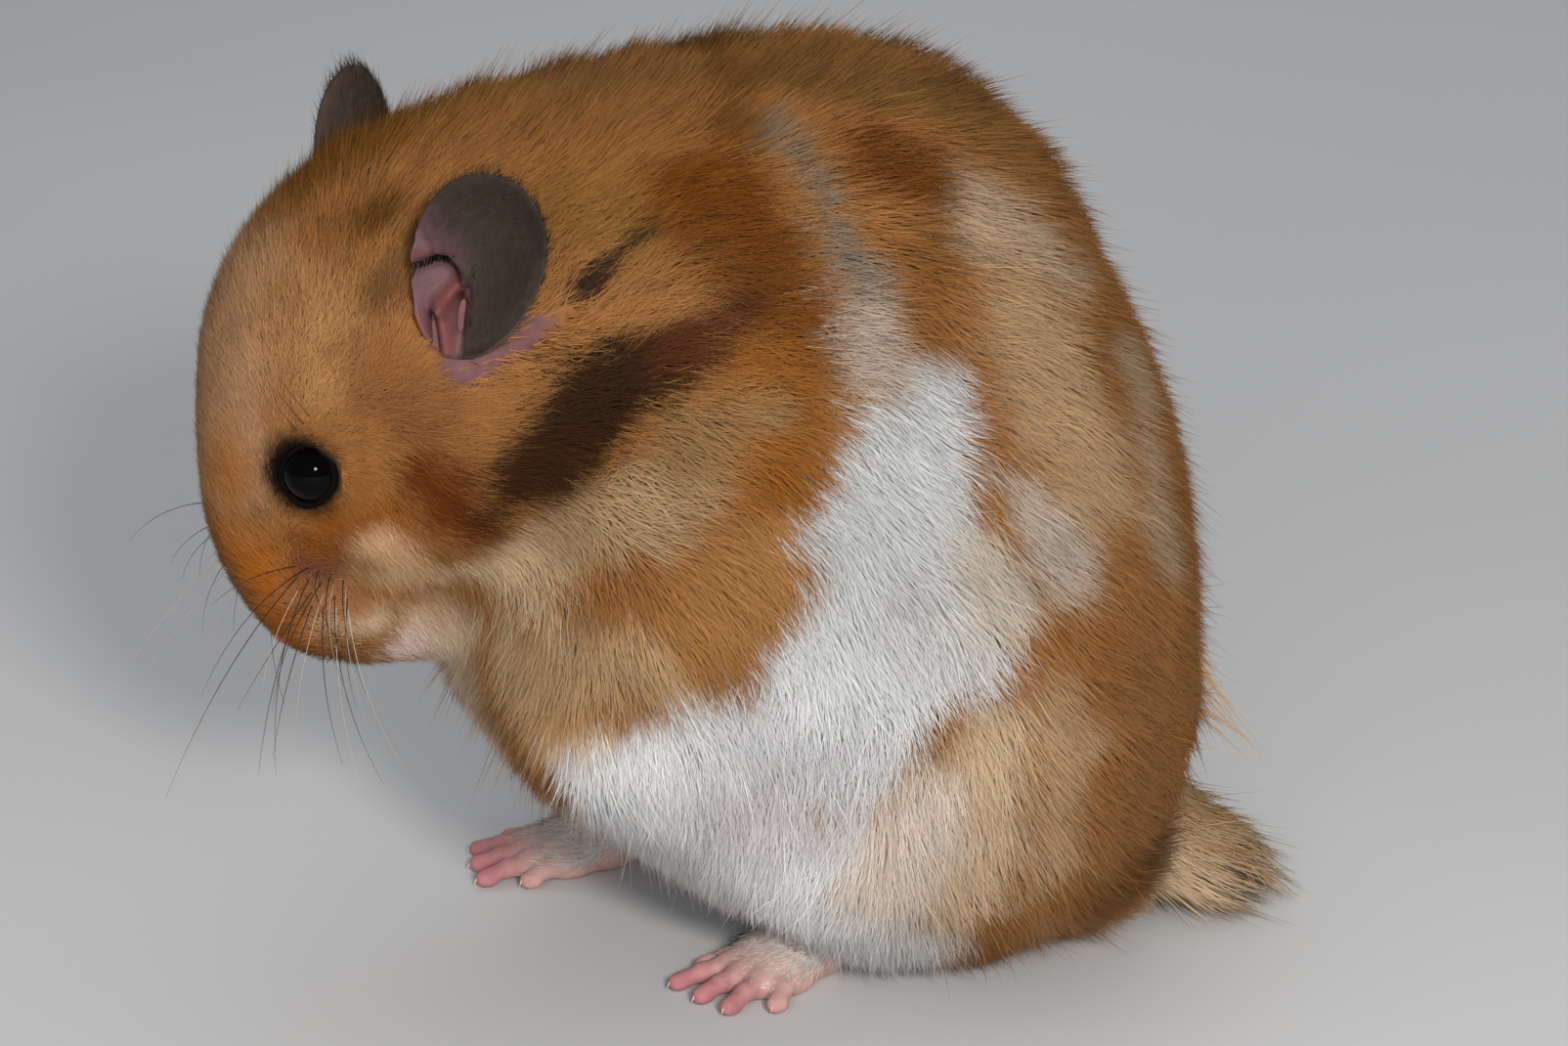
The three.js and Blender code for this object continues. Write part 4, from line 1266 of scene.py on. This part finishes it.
def grow_short(count, points, faces, uv, way, length_of, radius, lean):
    """Short hairs that lie nearly flat along one way, on an ear or a foot."""
    face, shares = sample_roots(count, points, faces, np.ones(len(faces)))
    a, b, c, d = (points[faces[face, i]] for i in range(4))
    normal = np.cross(c - a, d - b)
    size = np.linalg.norm(normal, axis=1)
    normal /= np.maximum(size, 1e-9)[:, None]
    root = np.einsum("nk,nkc->nc", shares, points[faces[face]]) - normal * 0.05
    lie = turned(flattened(way, normal), normal, 0.35 * rng.normal(size=count))
    length = (length_of(root) * np.exp(0.25 * rng.normal(size=count)))[:, None]
    middle, tip = root, root
    for share, steepness in ((0.45, 1.5), (0.55, 0.4)):
        rise = normal * math.sin(lean * steepness)
        middle, tip = tip, tip + length * share * (lie * math.cos(lean * steepness) + rise)
    hairs = {"root": root, "middle": middle, "tip": tip, "radius": np.full(count, radius),
             "uv": np.einsum("nk,nkc->nc", shares, uv[face]), "normal": normal,
             "shade": np.clip(0.5 + 0.2 * rng.normal(size=count), 0, 1)}
    return hairs, size > 1e-4


def kept(hairs, keep):
    return {key: value[keep] for key, value in hairs.items()}


# ---------------------------------------------------------------- from hairs to meshes

PATCH = 0.003  # width of a hair's patch on the unwrap
ROUNDNESS = 0.45  # share of its own roundness in the light on a hair
# A bent hair is a spindle: root, a ring of three, tip. A straight one has its ring at the root.
BENT = {
    "along": np.array([0.0, 0.45, 0.45, 0.45, 1.0]),
    "across": np.array([0, -0.5, 0, 0.5, 0]),
    "faces": np.array([[0, 2, 1], [0, 3, 2], [0, 1, 3], [1, 2, 4], [2, 3, 4], [3, 1, 4]]),
}
STRAIGHT = {
    "along": np.array([0.0, 0.0, 0.0, 1.0]),
    "across": np.array([-0.5, 0, 0.5, 0]),
    "faces": np.array([[0, 2, 1], [0, 1, 3], [1, 2, 3], [2, 0, 3]]),
}


def hair_piece(name, hairs, material, kind):
    """One mesh of many hairs, each closed."""
    root, tip = hairs["root"], hairs["tip"]
    count, along, corners = len(root), kind["along"], len(kind["along"])
    ringed, first = (hairs["middle"], 1) if kind is BENT else (root, 0)
    run = unit(tip - root)
    side = unit(np.cross(run, [0.31, 0.53, 0.79]))
    rise = np.cross(run, side)
    spin = rng.uniform(0, 2 * math.pi, count)
    points = np.empty((count, corners, 3))
    points[:, 0], points[:, -1] = root, tip
    # the light falls on a hair much as on the coat around it
    shading = np.repeat(hairs["normal"][:, None], corners, 1)
    for k in range(3):
        turn = (spin + 2 * math.pi * k / 3)[:, None]
        outwards = side * np.cos(turn) + rise * np.sin(turn)
        points[:, first + k] = ringed + hairs["radius"][:, None] * outwards
        shading[:, first + k] += ROUNDNESS * outwards
    points[..., 2] = np.maximum(points[..., 2], 0.03)
    faces = (kind["faces"][None] + corners * np.arange(count)[:, None, None]).reshape(-1, 3)
    piece = mesh_piece(name, points.reshape(-1, 3), faces, [material])
    piece.data.normals_split_custom_set_from_vertices(unit(shading).reshape(-1, 3))
    if "colour" in hairs:
        set_attribute(piece, "coat_colour", np.repeat(hairs["colour"], corners, 0))
    set_attribute(piece, "along", np.tile(along, count))
    set_attribute(piece, "shade", np.repeat(hairs["shade"], corners))
    patch = np.stack([along, kind["across"]], 1) * PATCH
    corner = hairs["uv"][:, None, None] + patch[kind["faces"]][None]
    layer = piece.data.uv_layers.new(name="OFBake")
    layer.data.foreach_set("uv", corner.astype(np.float32).ravel())
    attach(piece, "root")


# The coat is kept as several pieces, each around the places named here. Each holds under 50,000
# hairs of four triangles.
COAT_REGIONS = {
    "face_left": ((-46, -10, 48),), "face_right": ((-46, 10, 48),),
    "crown": ((-44, 0, 68), (-36, 0, 78)),
    "cheek_left": ((-32, -14, 54),), "cheek_right": ((-32, 14, 54),),
    "nape": ((-18, 0, 84),),
    "shoulder_left": ((-10, -24, 60),), "shoulder_right": ((-10, 24, 60),),
    "chest": ((-20, -10, 34), (-20, 10, 34)),
    "back": ((12, -6, 84), (12, 6, 84)),
    "flank_left": ((8, -28, 44),), "flank_right": ((8, 28, 44),),
    "rump_left": ((32, -14, 50),), "rump_right": ((32, 14, 50),),
    "thigh_left": ((14, -26, 14),), "thigh_right": ((14, 26, 14),),
    "tail": ((42, -10, 8), (40, 8, 10)),
}


def build_ear_down(label, side, count, points, faces, uv):
    ear = LEAVES[side]
    fuzz, keep = grow_short(count, points, faces, uv, ear.up + 0.2 * ear.back,
                            lambda p: 1.5, EAR_HAIR_RADIUS, 0.3)
    a, b, _ = ear.local(fuzz["root"])
    a, b = a / (EAR_WIDTH / 2), b / (EAR_LENGTH / 2)
    # the mauve skin shows near the front edge, and the hollow is bare
    sparse = (a < -0.15) & (b < 0.5) & (rng.uniform(size=len(a)) < 0.6)
    keep &= ((hollow_depth(a, b) < -0.05) & ~sparse) | (dot(fuzz["normal"], ear.out) < 0)
    hair_piece(f"coat_ear_{label}", kept(fuzz, keep), EAR_HAIR, STRAIGHT)


def build_foot_down(label, side, count, points, faces, uv):
    heel = foot_point(side, (0, 0, 0)) - MIDDLE
    way = foot_point(side, (1, 0, 0)) - MIDDLE - heel

    def length_of(p):
        return 3.2 - 2.3 * ramp((p - heel) @ way, 4, 12)

    fuzz, keep = grow_short(count, points, faces, uv, way, length_of, FOOT_HAIR_RADIUS, 0.35)
    reach = (fuzz["root"] - heel) @ way
    # only the upper side of the foot is haired, thinning out towards the toes
    keep &= (fuzz["normal"][:, 2] > 0) & (fuzz["root"][:, 2] > 1.0)
    keep &= rng.uniform(7, 14, len(reach)) > reach
    hair_piece(f"coat_foot_{label}", kept(fuzz, keep), FOOT_HAIR, STRAIGHT)


def build_coat():
    points, faces, part, side_of = root_mesh()
    uv = unwrapped(points, faces)
    share = 1.0
    body = part == BODY
    hairs = grow_body(int(BODY_HAIRS * share), points, faces[body], uv[body])
    apart = [
        np.min([distance_to(hairs["root"], np.array(place, float)) for place in places], axis=0)
        for places in COAT_REGIONS.values()
    ]
    nearest = np.argmin(apart, axis=0)
    for number, name in enumerate(COAT_REGIONS):
        kind = BENT if name == "tail" else STRAIGHT
        hair_piece(f"coat_{name}", kept(hairs, nearest == number), HAIR, kind)
    for label, side in SIDES:
        for build, kind, count in ((build_ear_down, EAR_PART, EAR_HAIRS),
                                   (build_foot_down, FOOT_PART, FOOT_HAIRS)):
            own = (part == kind) & (side_of == side)
            build(label, side, int(count / 2 * share), points, faces[own], uv[own])


build_coat()

# ---------------------------------------------------------------- whiskers

WHISKER_STEPS, WHISKER_SIDES = 12, 5
DARK_THICKNESS, PALE_THICKNESS, BROW_THICKNESS = 0.06, 0.036, 0.05  # mm, radius at the root
LOWEST_X, WIDEST_Y = -62.6, 42.5  # whiskers end here


def whisker_paths():
    """Dark and pale whiskers: root, first way, last way, length and thickness, all in mm."""
    own = np.random.default_rng(11)
    dark, pale = [], []
    for _, side in SIDES:
        for row in range(4):
            for place in range(5):
                root = (-44.6 + 1.15 * place, side * (8.6 + 0.35 * row),
                        45.4 - 1.15 * row - 0.35 * place)
                spread = own.normal(size=3) * 0.10
                first = (-0.72 + 0.13 * place, side * 0.62, 0.05 - 0.30 * row - 0.05 * place)
                last = (-0.42 + 0.17 * place, side * 0.35, -0.55 - 0.12 * row)
                length = own.uniform(15, 25) * (1 - 0.08 * row)
                is_dark = own.uniform() < (0.9 if row < 2 else 0.55)
                (dark if is_dark else pale).append(
                    (np.array(root), np.array(first) + spread, np.array(last) + spread * 2, length,
                     DARK_THICKNESS if is_dark else PALE_THICKNESS))
        for place in range(3):  # over the eye
            root = EYES[side] + np.array([-1.5 + place, side * 1.0, 4.2])
            first, last = np.array([-0.5, side * 0.5, 0.7]), np.array([-0.4, side * 0.2, 0.6])
            dark.append((root, first, last, own.uniform(6, 10), BROW_THICKNESS))
    return dark, pale


def whisker_nodes(material):
    """Turns lines into tubes as thick as their points say."""
    tree = bpy.data.node_groups.new("whiskers", "GeometryNodeTree")
    for way in ("INPUT", "OUTPUT"):
        tree.interface.new_socket("Geometry", in_out=way, socket_type="NodeSocketGeometry")
    lines = add_node(tree, "NodeGroupInput").outputs["Geometry"]
    curve = add_node(tree, "GeometryNodeMeshToCurve", {"Mesh": lines}).outputs[0]
    wide = add_node(tree, "GeometryNodeInputNamedAttribute", None, {"Name": "thickness"},
                    data_type="FLOAT").outputs["Attribute"]
    ring = add_node(tree, "GeometryNodeCurvePrimitiveCircle", None,
                    {"Resolution": WHISKER_SIDES, "Radius": 1.0}).outputs[0]
    tube = add_node(tree, "GeometryNodeCurveToMesh",
                    {"Curve": curve, "Profile Curve": ring, "Scale": wide},
                    {"Fill Caps": True}).outputs[0]
    smooth = add_node(tree, "GeometryNodeSetShadeSmooth", {0: tube}).outputs[0]
    real = add_node(tree, "GeometryNodeRealizeInstances", {0: smooth}).outputs[0]
    painted = add_node(tree, "GeometryNodeSetMaterial", {0: real}, {"Material": material})
    add_node(tree, "NodeGroupOutput", {0: painted.outputs[0]})
    return tree


def whisker_piece(name, paths, material):
    points, widths, edges = [], [], []
    for root, first, last, length, thick in paths:
        for i in range(WHISKER_STEPS):
            t = i / (WHISKER_STEPS - 1)
            # 0.4 mm of each whisker is under the skin
            place = root - first * 0.4 + length * (first * t + (last - first) * t * t / 2)
            if i and (place[0] < LOWEST_X or abs(place[1]) > WIDEST_Y or place[2] < 0.5):
                break
            points.append(place)
            widths.append(thick * (1 - 0.8 * t) * MM)
            if i:
                edges.append((len(points) - 2, len(points) - 1))
    mesh = bpy.data.meshes.new(name)
    mesh.from_pydata([tuple(p * MM) for p in points], edges, [])
    lines = placed(name + "_lines", mesh)
    set_attribute(lines, "thickness", np.array(widths))
    lines.modifiers.new("whiskers", "NODES").node_group = whisker_nodes(material)
    evaluated = lines.evaluated_get(bpy.context.evaluated_depsgraph_get())
    solid = bpy.data.meshes.new_from_object(evaluated)
    bpy.data.objects.remove(lines)
    piece = placed(name, solid)
    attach(piece, "root")


dark_paths, pale_paths = whisker_paths()
whisker_piece("whiskers_dark", dark_paths, DARK_WHISKER)
whisker_piece("whiskers_pale", pale_paths, PALE_WHISKER)

# ---------------------------------------------------------------- floor, light and camera

FLOOR_SIZE = 3000.0
LIT_PLACE = Vector((0, 0, 40))  # mm, where all lamps point
# Lamps: place in mm, width in metres, watts, colour. Only the key light shows in the eyes.
LAMPS = {
    "key": ((-60, -520, 300), 0.10, 2.3, "#fffaf2"),
    "front": ((-240, -460, 220), 0.40, 1.25, "#ffffff"),
    "top": ((60, 160, 620), 0.7, 1.0, "#ffffff"),
    "back": ((260, 420, 330), 0.5, 0.25, "#ffffff"),
}


def build_floor():
    square = np.array([[-1, -1, 0], [1, -1, 0], [1, 1, 0], [-1, 1, 0]]) * FLOOR_SIZE
    floor = mesh_piece("floor", square, [[0, 1, 2, 3]], [PALE_PAINT], smooth=False)
    floor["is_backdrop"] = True


def area_light(name, at, size, power, colour):
    light = bpy.data.lights.new(name, "AREA")
    light.shape = "DISK"
    light.size = size
    light.energy = power
    light.color = linear(colour)[:3]
    lamp = placed(name, light)
    lamp.visible_glossy = name == "key"
    lamp.location = Vector(at) * MM
    lamp.rotation_euler = (LIT_PLACE - Vector(at)).to_track_quat("-Z", "Y").to_euler()


build_floor()
for name, lamp in LAMPS.items():
    area_light(name, *lamp)

world = bpy.data.worlds.new("soft_room")
world.use_nodes = True
background = world.node_tree.nodes["Background"].inputs
background["Color"].default_value = linear("#dfe2e6")
background["Strength"].default_value = 0.27
bpy.context.scene.world = world
bpy.context.scene.view_settings.view_transform = "Standard"

camera = bpy.data.cameras.new("camera")
camera.lens = 98.75
camera.sensor_width = 36
camera.clip_start = 0.01
viewpoint = placed("camera", camera)
viewpoint.location = (-0.12514, -0.35612, 0.17838)
viewpoint.rotation_euler = (math.radians(70), 0, math.radians(-20))
bpy.context.scene.camera = viewpoint

boxes = [[list(map(float, corner)) for corner in box] for box in (cad_box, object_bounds())]
